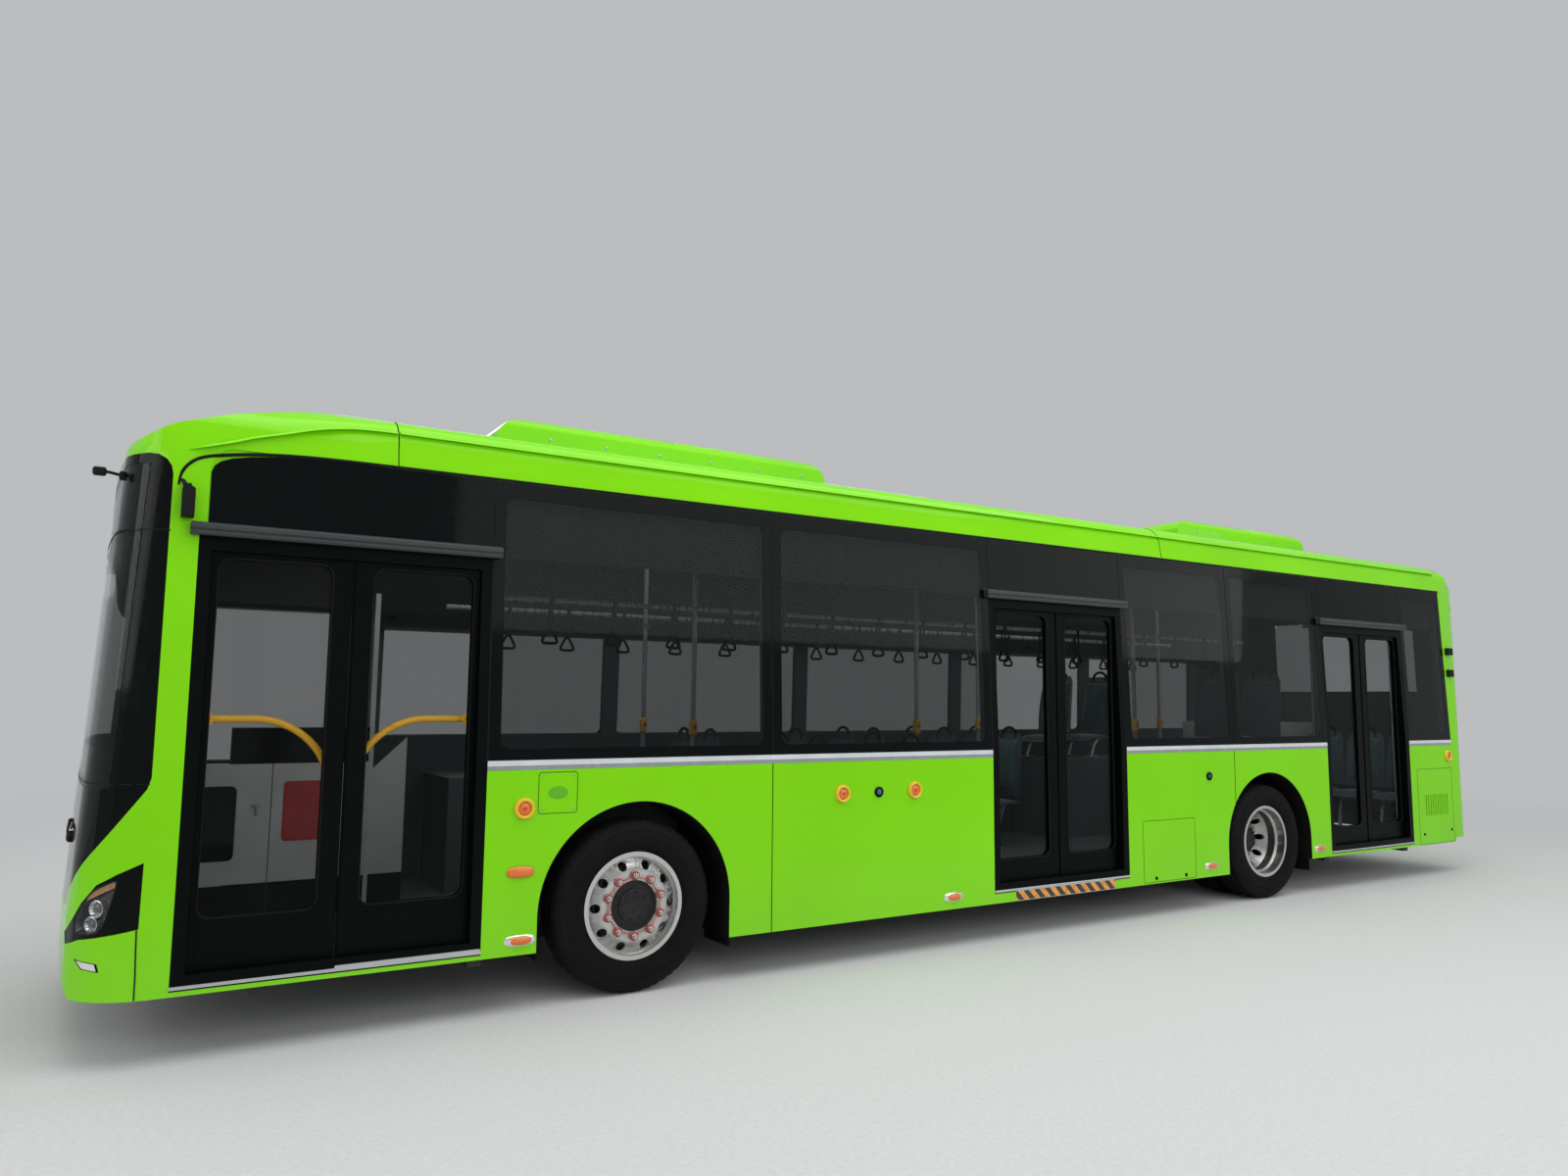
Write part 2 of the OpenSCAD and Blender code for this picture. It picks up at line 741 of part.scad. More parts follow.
// Rails and cross members under the deck, with a towing eye's socket at the front
rail_y = 380;
rail_h = 110;
notch_z = floor_z - deck_t - 10;
cross_members = concat(
    [for (k = [0.33, 0.7]) front_axle_x + k * front_overhang],
    [for (k = [0.15, 0.41, 0.71, 0.85]) front_axle_x - k * wheelbase],
    [for (k = [0.26, 0.65]) rear_axle_x - k * rear_overhang]
);
module underframe() {
    z1 = floor_z - deck_t;
    color([0.12, 0.12, 0.13]) {
        both_sides() difference() {
            box(tail_join + 60, nose_x - 480, rail_y - 40, rail_y + 40, z1 - rail_h, z1);
            for (x = [front_axle_x, rear_axle_x]) {
                box(x - 130, x + 130, 0, far, z1 - rail_h - 1, notch_z);
            }
        }
        for (x = cross_members) {
            box(x - 35, x + 35, -rail_y + 40, rail_y - 40, z1 - 80, z1);
            both_sides() box(x - 35, x + 35, rail_y + 40, inner_w, z1 - 50, z1);
        }
        // Round socket for the towing eye, on the front end of a rail
        difference() {
            translate([nose_x - 480, rail_y, z1 - 60]) rotate([0, 90, 0]) cylinder(r = 42, h = 330);
            translate([nose_x - 400, rail_y, z1 - 60]) rotate([0, 90, 0]) cylinder(r = 20, h = 300);
        }
    }
}

// Front axle with a dropped middle and an eye for each kingpin; rear axle with raised hub tubes
tyre_y = half_w - tyre_inset - tyre_w / 2;
kingpin_y = tyre_y - kingpin_set;
eye_z = [tyre_r - 87, tyre_r + 87];
hub_y = tyre_y - twin_pitch / 2;
carrier_y = tyre_y - twin_pitch - tyre_w / 2 - 8;
module axles() {
    color([0.15, 0.15, 0.16]) {
        difference() {
            union() {
                along_x(front_axle_x - 45, front_axle_x + 45) polygon([
                    [-kingpin_y, eye_z[0] + fit], [-kingpin_y + 70, eye_z[0] + fit], [-kingpin_y + 330, 175],
                    [kingpin_y - 330, 175], [kingpin_y - 70, eye_z[0] + fit], [kingpin_y, eye_z[0] + fit],
                    [kingpin_y, eye_z[1] - fit], [kingpin_y - 60, eye_z[1] - fit], [kingpin_y - 330, 262],
                    [-kingpin_y + 330, 262], [-kingpin_y + 60, eye_z[1] - fit], [-kingpin_y, eye_z[1] - fit]
                ]);
                both_sides() translate([front_axle_x, kingpin_y, eye_z[0] + fit])
                    cylinder(r = 45, h = eye_z[1] - eye_z[0] - 2 * fit);
            }
            both_sides() translate([front_axle_x, kingpin_y, 0]) cylinder(r = kingpin_r + fit, h = 1000);
        }
        box(rear_axle_x - 110, rear_axle_x + 110, -carrier_y + 25, carrier_y - 25, 185, 290);
        // Air springs between the axles and the frame rails
        for (x = [front_axle_x, rear_axle_x], y = [-rail_y, rail_y]) {
            translate([x, y, 250]) cylinder(r = 85, h = notch_z - fit - 250);
        }
        both_sides() {
            box(rear_axle_x - 120, rear_axle_x + 120, carrier_y - 33, carrier_y, 185, tyre_r + 121);
            translate([rear_axle_x, carrier_y - 25, tyre_r]) rotate([-90, 0, 0])
                cylinder(r = 70, h = hub_y + 85 - carrier_y);
        }
    }
}

// Steering knuckle: kingpin, two ears, a plate and the spindle
module knuckle() {
    color([0.2, 0.2, 0.21]) {
        translate([front_axle_x, kingpin_y, eye_z[0] - 36]) cylinder(r = kingpin_r, h = eye_z[1] - eye_z[0] + 72);
        for (z = [eye_z[0] - 34, eye_z[1]]) {
            translate([front_axle_x, kingpin_y, z]) cylinder(r = 46, h = 34);
            box(front_axle_x - 40, front_axle_x + 40, kingpin_y, kingpin_y + 84, z, z + 34);
        }
        box(front_axle_x - 55, front_axle_x + 55, kingpin_y + 56, kingpin_y + 84, eye_z[0] - 34, eye_z[1] + 34);
        translate([front_axle_x, kingpin_y + 60, tyre_r]) rotate([-90, 0, 0])
            cylinder(r = spindle_r, h = kingpin_set + 20 - 60);
    }
}

// Tyre about the Y axis, its middle at y = 0
module tyre() {
    w = tyre_w / 2;
    rotate([-90, 0, 0]) rotate_extrude($fn = 64) polygon(concat(
        [[bead_r + fit, -rim_w / 2 + 15], [bead_r + flange_h + 1, -rim_w / 2 + 12]],
        [[bead_r + 45, -w + 10], [bead_r + 85, -w], [tyre_r - 60, -w + 5], [tyre_r - 20, -w + 20]],
        [[tyre_r - 4, -w + 42], [tyre_r, 0], [tyre_r - 4, w - 42]],
        [[tyre_r - 20, w - 20], [tyre_r - 60, w - 5], [bead_r + 85, w], [bead_r + 45, w - 10]],
        [[bead_r + flange_h + 1, rim_w / 2 - 12], [bead_r + fit, rim_w / 2 - 15]]
    ));
}

// Rim about the Y axis with its disc at y = disc, dished towards it
disc_t = 14;
rim_t = 12;
module rim(disc, hub_r) {
    h = rim_w / 2;
    s = disc < 0 ? -1 : 1;
    difference() {
        rotate([-90, 0, 0]) rotate_extrude($fn = 64) union() {
            polygon([
                [bead_r - rim_t, -h], [bead_r + flange_h, -h], [bead_r + flange_h, -h + 11],
                [bead_r, -h + 14], [bead_r, -h + 60], [bead_r - 22, -h + 74], [bead_r - 22, h - 74],
                [bead_r, h - 60], [bead_r, h - 14], [bead_r + flange_h, h - 11],
                [bead_r + flange_h, h], [bead_r - rim_t, h], [bead_r - rim_t, h - 66],
                [bead_r - 22 - rim_t, h - 80], [bead_r - 22 - rim_t, -h + 80], [bead_r - rim_t, -h + 66]
            ]);
            polygon([
                [hub_r, disc - s * disc_t], [stud_pcd / 2 + 34, disc - s * disc_t],
                [bead_r - rim_t - 8, s * (h - 62)], [bead_r - rim_t + 2, s * (h - 62)],
                [bead_r - rim_t + 2, s * (h - 44)], [bead_r - rim_t - 8, s * (h - 44)],
                [stud_pcd / 2 + 40, disc], [hub_r, disc]
            ]);
        }
        for (i = [0:stud_n - 1]) rotate([0, i * 360 / stud_n, 0])
            translate([bead_r - rim_t - 46, 0, 0]) rotate([90, 0, 0]) cylinder(r = 25, h = 900, center = true);
    }
}

// Studs with their nuts round the hub, standing out of the disc at y = disc
module studs(disc, out) {
    for (i = [0:stud_n - 1]) rotate([0, (i + 0.5) * 360 / stud_n, 0])
        translate([stud_pcd / 2, disc - 1, 0]) rotate([-90, 0, 0]) {
            cylinder(r = 16, h = 24, $fn = 6);
            cylinder(r = 11, h = out);
        }
}

module front_rim() {
    disc = 108;
    color([0.8, 0.81, 0.82]) {
        difference() {
            union() {
                rim(disc, 140);
                translate([0, disc - disc_t - 45, 0]) rotate([-90, 0, 0]) cylinder(r = 165, h = 45.5);
                translate([0, disc - 60, 0]) rotate([-90, 0, 0]) cylinder(r = 92, h = 58);
                translate([0, -70, 0]) rotate([-90, 0, 0]) cylinder(r = 95, h = 140);
                translate([0, -20, 0]) rotate([-90, 0, 0]) cylinder(r = 215, h = 38);
            }
            translate([0, -90, 0]) rotate([-90, 0, 0]) cylinder(r = spindle_r + fit, h = 90 + 20 + fit);
        }
        studs(disc, 30);
    }
}

module rear_rims() {
    half = twin_pitch / 2;
    color([0.8, 0.81, 0.82]) difference() {
        union() {
            translate([0, half, 0]) rim(-half, 60);
            translate([0, -half, 0]) rim(half, 60);
            translate([0, -30, 0]) rotate([-90, 0, 0]) cylinder(r = 150, h = 30);
            translate([0, -120, 0]) rotate([-90, 0, 0]) cylinder(r = 95, h = 220);
            studs(disc_t, 34);
        }
        translate([0, -130, 0]) rotate([-90, 0, 0]) cylinder(r = 70 + fit, h = 130 + 60 + fit);
    }
}

module left_wheel(x, y) {
    translate([x, y, tyre_r]) children();
}
module right_wheel(x, y) {
    mirror([0, 1, 0]) left_wheel(x, y) children();
}

module twin_tyres() {
    translate([0, twin_pitch / 2, 0]) tyre();
    translate([0, -twin_pitch / 2, 0]) tyre();
}

// Dark sign box behind the top of the windscreen
sign_depth = 480;
module sign_box() {
    color(black) intersection() {
        box(nose_x - sign_depth, nose_x, -portal_in_y, portal_in_y, portal_top - 40, screen_top_z - 60);
        nose_solid(wall_t);
    }
}

// Instrument board across the front, higher in front of the driver
driver_set = 610;
driver_y = -half_w + driver_set;
wheel_set = 640;
wheel_c = [nose_x - wheel_set, 1080];
wheel_tilt = 28;
wheel_r = 215;
column_h = 110;
passage_w = 420;
dash_top = 1000;
dash_lip = 40;
dash_side = 60;
dash_d = 330;
dash_x = [nose_x - dash_d - 90, nose_x - 90];
binnacle_w = 660;
binnacle_d = 220;
pedestal_r = 60;
pedestal_h = 560;
// A point u forward of the steering wheel's middle in its plane and d above that plane
function wheel_at(u, d) =
    wheel_c + u * [cos(wheel_tilt), sin(wheel_tilt)] + d * [-sin(wheel_tilt), cos(wheel_tilt)];
module dash() {
    color([0.16, 0.17, 0.18]) {
        intersection() {
            along_y(-inner_w + dash_side, inner_w - passage_w) polygon([
                [dash_x[0], floor_z], [dash_x[1], floor_z], [dash_x[1] + 30, dash_top - dash_lip],
                [dash_x[1] - 75, dash_top], [dash_x[0] + dash_lip, dash_top],
                [dash_x[0] - dash_lip / 2, dash_top - 1.5 * dash_lip]
            ]);
            nose_solid(wall_t + 4);
        }
        translate([wheel_c[0] + 80, driver_y, floor_z]) cylinder(r = pedestal_r, h = pedestal_h);
        along_y(driver_y - binnacle_w / 2, driver_y + binnacle_w / 2) polygon([
            [wheel_c[0] + 20, floor_z + pedestal_h], [wheel_c[0] + 20 + binnacle_d, floor_z + pedestal_h],
            [wheel_c[0] + dash_lip + binnacle_d, dash_top + dash_side],
            wheel_at(wheel_r, -column_h - fit), wheel_at(-50, -column_h - fit)
        ]);
    }
}

module steering_wheel() {
    color(black) translate([wheel_c[0], driver_y, wheel_c[1]]) rotate([0, -wheel_tilt, 0]) {
        rotate_extrude() translate([wheel_r, 0]) circle(r = 15, $fn = 24);
        for (a = [30, 150, 270]) rotate([0, 0, a]) translate([0, -14, -8]) cube([wheel_r - 11, 28, 14]);
        translate([0, 0, -column_h]) cylinder(r = 45, h = column_h + 15);
    }
}

// Seats: x, y and height of the platform, facing forward
seat_d = 440;
pad_t = 70;
leg_in = 40;
loop_r = 60;
cab_seat_set = 1180;
cab_seat_lift = 60;
cab_seat = [nose_x - cab_seat_set, driver_y];
row_pitch = 793;
first_row_set = 1150;
first_row = front_axle_x - first_row_set;
window_y = inner_w - 15 - seat_w / 2;
aisle_y = window_y - seat_w - 20;
rear_y = inner_w - 40 - seat_w / 2;
rear_rows = [rear_axle_x + 420, rear_axle_x - 180];
last_row = tail_join + 340;
last_y = inner_w - 85 - seat_w / 2;
last_pitch = seat_w + 10;
seat_table = concat(
    [for (i = [0:4], y = [-window_y, -aisle_y]) [first_row - row_pitch * i, y, 0]],
    [for (i = [0, 1], y = [window_y, aisle_y]) [first_row - row_pitch * i, y, 0]],
    [for (x = rear_rows, y = [-rear_y, rear_y]) [x, y, box_top + box_wall - floor_z - 200]],
    [for (i = [0:2]) [last_row, last_y - last_pitch * i, 0]]
);
module seat(base) {
    z = floor_z + seat_h;
    w = seat_w / 2;
    d = seat_d / 2;
    box(-d, d, -w, w, z - pad_t, z);
    along_y(-w, w) polygon([
        [-d + 10, z - pad_t / 2], [-d + pad_t, z - pad_t / 2], [-d + 15, z + back_h], [-d - 42, z + back_h - 30]
    ]);
    along_y(-w + leg_in, -w + leg_in + pad_t / 2) polygon([
        [-d / 2 + 10, base], [d / 2 + 30, base], [d / 2 + 10, z - pad_t + 1], [-d / 2 + 30, z - pad_t + 1]
    ]);
    translate([-d - 12, 0, z + back_h - 15]) rotate([90, 0, 90]) rotate_extrude(angle = 180)
        translate([loop_r, 0]) circle(r = loop_r / 5, $fn = 16);
}
module seats() {
    color([0.13, 0.19, 0.19]) {
        for (s = seat_table) {
            if (s[2] == 0) translate([s[0], s[1], 0]) seat(floor_z);
            else translate([s[0], s[1], s[2]]) seat(box_top + box_wall - s[2]);
        }
        translate([cab_seat[0], cab_seat[1], cab_seat_lift]) seat(floor_z - cab_seat_lift);
    }
}

// Screen between the driver and the first doorway: a high wall behind the seat and a low one beside it
partition_t = 30;
partition_behind = 350;
partition_ahead = 420;
partition_side = 400;
partition_rise = 143;
partition_z = [belt_z + partition_rise, portal_top - partition_rise];
module driver_screen() {
    x = cab_seat[0] - partition_behind;
    y = driver_y + partition_side;
    color([0.3, 0.32, 0.34]) {
        box(x - partition_t, x, -inner_w + partition_t, y + 10, floor_z, partition_z[1]);
        box(x, cab_seat[0] + partition_ahead, y, y + 25, floor_z, partition_z[0]);
    }
}

// Grey stanchions from floor to ceiling and two long rails under the ceiling
pole_r = 17;
pole_set = 760;
ceiling_rail_y = 420;
ceiling_rail_z = 2250;
ceiling_rail_x = [rear_axle_x - 900, front_axle_x + 700];
pole_table = [
    [ceiling_rail_x[1], ceiling_rail_y],
    [front_axle_x - pole_set, ceiling_rail_y - 20], [front_axle_x - pole_set, -ceiling_rail_y + 20],
    [door_x[1] + portal_half + 10, ceiling_rail_y],
    [door_x[1] - portal_half, ceiling_rail_y], [door_x[1] - portal_half, -ceiling_rail_y],
    [rear_axle_x + pole_set, 470], [rear_axle_x + pole_set, -470], [rear_axle_x - pole_set, -470]
];
module grab_rails() {
    color([0.55, 0.57, 0.58]) {
        intersection() {
            for (p = pole_table) translate([p[0], p[1], floor_z]) cylinder(r = pole_r, h = roof_z - floor_z);
            mid_solid(wall_t + fit, tail_join, cap_x);
        }
        for (y = [-ceiling_rail_y, ceiling_rail_y])
            translate([ceiling_rail_x[0], y, ceiling_rail_z]) rotate([0, 90, 0])
                cylinder(r = pole_r, h = ceiling_rail_x[1] - ceiling_rail_x[0]);
    }
}

unit_len = 1100;
module power_unit() {
    color([0.25, 0.25, 0.26]) box(tail_join - 100, tail_join - 100 + unit_len, -inner_w + 10,
        last_y - 2 * last_pitch - seat_w / 2 - 65, floor_z, partition_z[0]);
}

// Lamps: headlamps, tail lamps and the round and oval side lamps
side_lamp_table = [
    [front_axle_x + 675, 1053, 42], [front_axle_x - 1395, 1053, 42], [front_axle_x - 1980, 1056, 42],
    [tail_x + 410, 1150, 42]
];
marker_table = [
    [front_axle_x + 685, 723], [front_axle_x + 675, 371], [front_axle_x - 2315, 333],
    [rear_axle_x + 815, 338], [rear_axle_x - 710, 378]
];
module lamps() {
    color([0.85, 0.86, 0.88]) both_sides() intersection() {
        difference() {
            nose_solid(0);
            nose_solid(wall_t);
        }
        along_y(600, half_w + 100) lamp_outline();
    }
    color([0.75, 0.08, 0.06]) both_sides() intersection() {
        difference() {
            tail_solid(0);
            tail_solid(wall_t);
        }
        along_x(tail_x - 100, tail_x + 300) tail_lamp_outline(fit);
    }
    color([0.95, 0.45, 0.05]) both_sides() {
        for (l = side_lamp_table) translate([l[0], half_w, l[1]]) rotate([-90, 0, 0]) cylinder(r = l[2], h = 18);
        for (m = marker_table) translate([m[0], half_w, m[1]]) {
            translate([-50, 0, -20]) cube([100, 14, 40]);
        }
    }
}

// Camera arms in place of outside mirrors
camera_x = pillar_x + 75;
camera_z = portal_top + 93;
module mirror_cameras() {
    color(black) both_sides() {
        difference() {
            box(camera_x - 47, camera_x + 9, half_w - 62, half_w + 50, camera_z - 78, camera_z + 78);
            nose_solid(0);
        }
    }
}

// Two parked wiper arms below the windscreen
wiper_z = 950;
module wipers() {
    color(black) for (y = [-560, 560]) {
        foot_x = bulge_x(y) - (wiper_z - bumper_z) * tan(screen_lean);
        difference() {
            translate([foot_x - 10, y, wiper_z]) rotate([0, 90, 0]) cylinder(r = 28, h = 32);
            nose_solid(0);
        }
        translate([foot_x + 14, y - 10, wiper_z]) cube([12, 20, 50]);
        translate([foot_x + 14, y - 480, wiper_z + 40]) cube([12, 500, 16]);
    }
}

module mudflaps() {
    color(black) both_sides() {
        box(front_axle_x - arch_r - 30, front_axle_x - arch_r - 18, 900, inner_w, 190, floor_z - deck_t);
        box(rear_axle_x - arch_r - 30, rear_axle_x - arch_r - 18, 660, inner_w, 190, floor_z - deck_t);
    }
}

floor();
underframe();
left_side();
right_side();
roof();
front_cap();
front_panel();
front_mask();
windscreen();
rear_end();
windows();
roof_units();
door_portals();
door_guides();
door_gutters();
sign_box();
dash();
steering_wheel();
driver_screen();
seats();
grab_rails();
axles();
power_unit();
lamps();
mirror_cameras();
wipers();
mudflaps();
knuckle();  // knuckle_left
mirror([0, 1, 0]) knuckle();  // knuckle_right
color(black) left_wheel(front_axle_x, tyre_y) tyre();  // front_left_tyre
left_wheel(front_axle_x, tyre_y) front_rim();  // front_left_rim
color(black) right_wheel(front_axle_x, tyre_y) tyre();  // front_right_tyre
right_wheel(front_axle_x, tyre_y) front_rim();  // front_right_rim
color(black) left_wheel(rear_axle_x, hub_y) twin_tyres();  // rear_left_tyres
left_wheel(rear_axle_x, hub_y) rear_rims();  // rear_left_rims
color(black) right_wheel(rear_axle_x, hub_y) twin_tyres();  // rear_right_tyres
right_wheel(rear_axle_x, hub_y) rear_rims();  // rear_right_rims
door_column(0, 1);  // door1_front_column
door_leaf(0, 1);  // door1_front_leaf
door_glass(0, 1);  // door1_front_glass
door_column(0, -1);  // door1_rear_column
door_leaf(0, -1);  // door1_rear_leaf
door_glass(0, -1);  // door1_rear_glass
door_column(1, 1);  // door2_front_column
door_leaf(1, 1);  // door2_front_leaf
door_glass(1, 1);  // door2_front_glass
door_column(1, -1);  // door2_rear_column
door_leaf(1, -1);  // door2_rear_leaf
door_glass(1, -1);  // door2_rear_glass
door_column(2, 1);  // door3_front_column
door_leaf(2, 1);  // door3_front_leaf
door_glass(2, 1);  // door3_front_glass
door_column(2, -1);  // door3_rear_column
door_leaf(2, -1);  // door3_rear_leaf
door_glass(2, -1);  // door3_rear_glass
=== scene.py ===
import math
import bmesh
import bpy
import numpy as np
from mathutils import Matrix, Vector


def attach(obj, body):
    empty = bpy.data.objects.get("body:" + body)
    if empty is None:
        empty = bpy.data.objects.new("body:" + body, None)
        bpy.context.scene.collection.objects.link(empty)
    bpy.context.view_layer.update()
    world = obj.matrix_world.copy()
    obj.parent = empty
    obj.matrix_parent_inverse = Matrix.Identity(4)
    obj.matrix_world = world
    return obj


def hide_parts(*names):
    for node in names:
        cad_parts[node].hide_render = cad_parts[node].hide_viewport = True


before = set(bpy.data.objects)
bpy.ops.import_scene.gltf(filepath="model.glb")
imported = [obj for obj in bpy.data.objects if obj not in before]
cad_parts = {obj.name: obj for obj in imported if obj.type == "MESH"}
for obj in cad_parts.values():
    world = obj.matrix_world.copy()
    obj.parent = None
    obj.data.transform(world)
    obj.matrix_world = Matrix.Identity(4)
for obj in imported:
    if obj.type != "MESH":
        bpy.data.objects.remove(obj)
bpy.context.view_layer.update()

print("frame loaded,", len(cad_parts), "nodes")

# sizes that the pieces share, in metres

bus = {
    "halfWidth": 1.25, "topInset": 0.05, "beltZ": 1.307, "cantrailZ": 2.811, "tailX": -6.0, "tailJoin": -5.67,
    "frontAxleX": 3.28, "rearAxleX": -2.60, "axleZ": 0.479, "tyreY": 1.082, "twinY": (1.082, 0.771),
    "doorX": (4.855, -0.105, -4.185), "skirtZ": 0.253, "endSkirtZ": 0.297, "floorZ": 0.340,
}
sides = {"left": 1, "right": -1}
alongX, alongY = (1, 0, 0), (0, 1, 0)


def sideY(z):
    # half width at height z: straight up to the belt, then leaning in to the cantrail
    t = (np.asarray(z, float) - bus["beltZ"]) / (bus["cantrailZ"] - bus["beltZ"])
    return bus["halfWidth"] - bus["topInset"] * np.maximum(t, 0)


# lines and outlines as arrays of points


def points(*parts):
    # numbers and arrays, side by side as the coordinates of points
    return np.stack(np.broadcast_arrays(*parts), -1)


def laid(outline, depth):
    # an outline in x and z, set at one depth
    return points(outline[:, 0], depth, outline[:, 1])


def arc(cx, cy, r, start, end, n, ry=None):
    # n points of a circle or oval between two angles in degrees
    a = np.radians(np.linspace(start, end, n))
    return points(cx + r * np.cos(a), cy + (r if ry is None else ry) * np.sin(a))


def refined(line, n, times):
    # an open line with n points, each then drawn to its neighbours some times: (a + 2 b + c) / 4
    line = np.asarray(line, float)
    t = np.linspace(0, len(line) - 1, n)
    line = points(*(np.interp(t, np.arange(len(line)), c) for c in line.T))
    for _ in range(times):
        line[1:-1] = (line[:-2] + 2 * line[1:-1] + line[2:]) / 4
    return line


def finer(outline, n, times=0):
    # a closed line with n points along each edge, each then drawn to its neighbours in the same way
    outline = np.asarray(outline, float)
    t = (np.arange(n) / n)[None, :, None]
    line = (outline[:, None] * (1 - t) + np.roll(outline, -1, 0)[:, None] * t).reshape(-1, 2)
    for _ in range(times):
        line = (np.roll(line, 1, 0) + 2 * line + np.roll(line, -1, 0)) / 4
    return line


def shrunk(outline, k):
    # an outline at k times its size about its own middle
    return outline.mean(0) + (outline - outline.mean(0)) * k


def inset(box, d):
    x0, x1, z0, z1 = box
    return x0 + d, x1 - d, z0 + d, z1 - d


def roundRect(x0, x1, z0, z1, r, n=5):
    # outline of a rectangle with round corners, running one way from the lower right
    a = np.linspace(0, np.pi / 2, n + 1)
    corners = ((x1 - r, z0 + r, -np.pi / 2), (x1 - r, z1 - r, 0), (x0 + r, z1 - r, np.pi / 2),
               (x0 + r, z0 + r, np.pi))
    return np.vstack([points(cx + r * np.cos(a + s), cz + r * np.sin(a + s)) for cx, cz, s in corners])


# shapes as a pair: an array of vertices and a list of face arrays


def joinShapes(shapes):
    verts, faces, base = [], [], 0
    for v, fs in shapes:
        verts.append(v)
        faces += [f + base for f in fs]
        base += len(v)
    return np.vstack(verts), faces


def gridFaces(nu, nv, closeU=False, closeV=False):
    # quads between neighbours of a grid of nu by nv points
    i = np.arange(nu if closeU else nu - 1)[:, None]
    j = np.arange(nv if closeV else nv - 1)[None, :]
    i2, j2 = (i + 1) % nu, (j + 1) % nv
    return points(i * nv + j, i2 * nv + j, i2 * nv + j2, i * nv + j2).reshape(-1, 4)


def cappedFaces(n, k):
    # n closed rings of k points, with a face over the first ring and one over the last
    return [gridFaces(n, k, False, True), np.arange(k)[None, ::-1], np.arange(k)[None] + (n - 1) * k]


def closedSheet(top, low, nu, nv):
    # two grids of nu by nv points and the rim that joins their edges
    quads, i, j = gridFaces(nu, nv), np.arange(nu), np.arange(nv)
    edge = np.concatenate([i * nv, (nu - 1) * nv + j[1:], (i[::-1] * nv + nv - 1)[1:], j[::-1][1:-1]])
    after = np.roll(edge, -1)
    verts = np.vstack([top.reshape(-1, 3), low.reshape(-1, 3)])
    return verts, [quads, quads[:, ::-1] + nu * nv, points(edge, after, after + nu * nv, edge + nu * nv)]


def sweep(path, profile, up=(0, 0, 1), scale=1.0, closed=False):
    # a closed flat profile carried along a path: point = path + scale * (a * side + b * over)
    path, profile = np.asarray(path, float), np.asarray(profile, float)
    tangent = np.roll(path, -1, 0) - np.roll(path, 1, 0) if closed else np.gradient(path, axis=0)
    tangent /= np.linalg.norm(tangent, axis=1, keepdims=True)
    side = np.cross(tangent, np.asarray(up, float))
    side /= np.linalg.norm(side, axis=1, keepdims=True)
    over = np.cross(side, tangent)
    n, k = len(path), len(profile)
    ring = profile[None, :, :1] * side[:, None] + profile[None, :, 1:] * over[:, None]
    verts = path[:, None] + np.broadcast_to(scale, n)[:, None, None] * ring
    return verts.reshape(-1, 3), [gridFaces(n, k, True, True)] if closed else cappedFaces(n, k)


def tube(path, r, n=12, up=(0, 0, 1), closed=False):
    a = np.linspace(0, 2 * np.pi, n, endpoint=False)
    return sweep(path, points(r * np.cos(a), r * np.sin(a)), up, closed=closed)


def lathe(profile, centre, segments=64, axis="y"):
    # a profile of (radius, distance along the axis) turned about that axis through centre
    r, d = np.asarray(profile, float).T
    a = np.linspace(0, 2 * np.pi, segments, endpoint=False)[:, None]
    across, up = r * np.cos(a), r * np.sin(a)
    verts = points(*{"x": (d, across, up), "y": (across, d, up), "z": (across, up, d)}[axis])
    return verts.reshape(-1, 3) + np.asarray(centre, float), [gridFaces(segments, len(r), True, True)]


def prism(outline, axis, lo, hi):
    # a flat outline carried straight along one axis from lo to hi
    p, q = np.asarray(outline, float).T
    ends = [points(*{"x": (d, p, q), "y": (p, d, q), "z": (p, q, d)}[axis]) for d in (lo, hi)]
    return np.vstack(ends), cappedFaces(2, len(p))


def block(lo, hi, c=0.004):
    # a box with its edges cut at 45 degrees: each corner has three points, one on each face that meets there
    lo, hi = np.asarray(lo, float), np.asarray(hi, float)
    c = min(c, 0.45 * float((hi - lo).min()))
    corner = np.indices((2, 2, 2)).reshape(3, -1).T
    inward = np.where(corner == 1, -c, c)
    verts = np.where(corner == 1, hi, lo)[:, None] + inward[:, None] * (1 - np.eye(3))
    step = (12, 6, 3)  # from a corner's first point to that of its neighbour along each axis
    faces = []
    for axis in range(3):
        u, v = (axis + 1) % 3, (axis + 2) % 3
        for a in (0, 1):
            ring = ((0, 0), (1, 0), (1, 1), (0, 1))
            faces.append([a * step[axis] + p * step[u] + q * step[v] + axis for p, q in ring])
            for b in (0, 1):
                i = a * step[u] + b * step[v]
                faces.append([i + u, i + v, i + step[axis] + v, i + step[axis] + u])
    return verts.reshape(-1, 3), [np.array(faces), np.arange(24).reshape(8, 3)]


def band(outer, inner, depth0, depth1):
    # a flat ring between two outlines with the same count of points
    corners = ((outer, depth0), (inner, depth0), (inner, depth1), (outer, depth1))
    return np.vstack([laid(o, d) for o, d in corners]), [gridFaces(4, len(outer), True, True)]


def pane(outline, depth, thick, rings=5):
    # an outline filled by rings round its middle, with a back face and a rim
    sizes = np.linspace(0.12, 1, rings)
    layers = [laid(shrunk(outline, t), depth) for t in sizes]
    layers += [laid(shrunk(outline, t), depth - thick) for t in sizes[::-1]]
    return np.vstack(layers), cappedFaces(2 * rings, len(outline))


def between(outer, inner, depthOuter, depthInner, rings):
    # an open sheet of rings between two outlines with the same count of points
    mix = np.linspace(0, 1, rings)
    layers = [laid(outer * (1 - t) + inner * t, depthOuter * (1 - t) + depthInner * t) for t in mix]
    return np.vstack(layers), [gridFaces(rings, len(outer), False, True)]


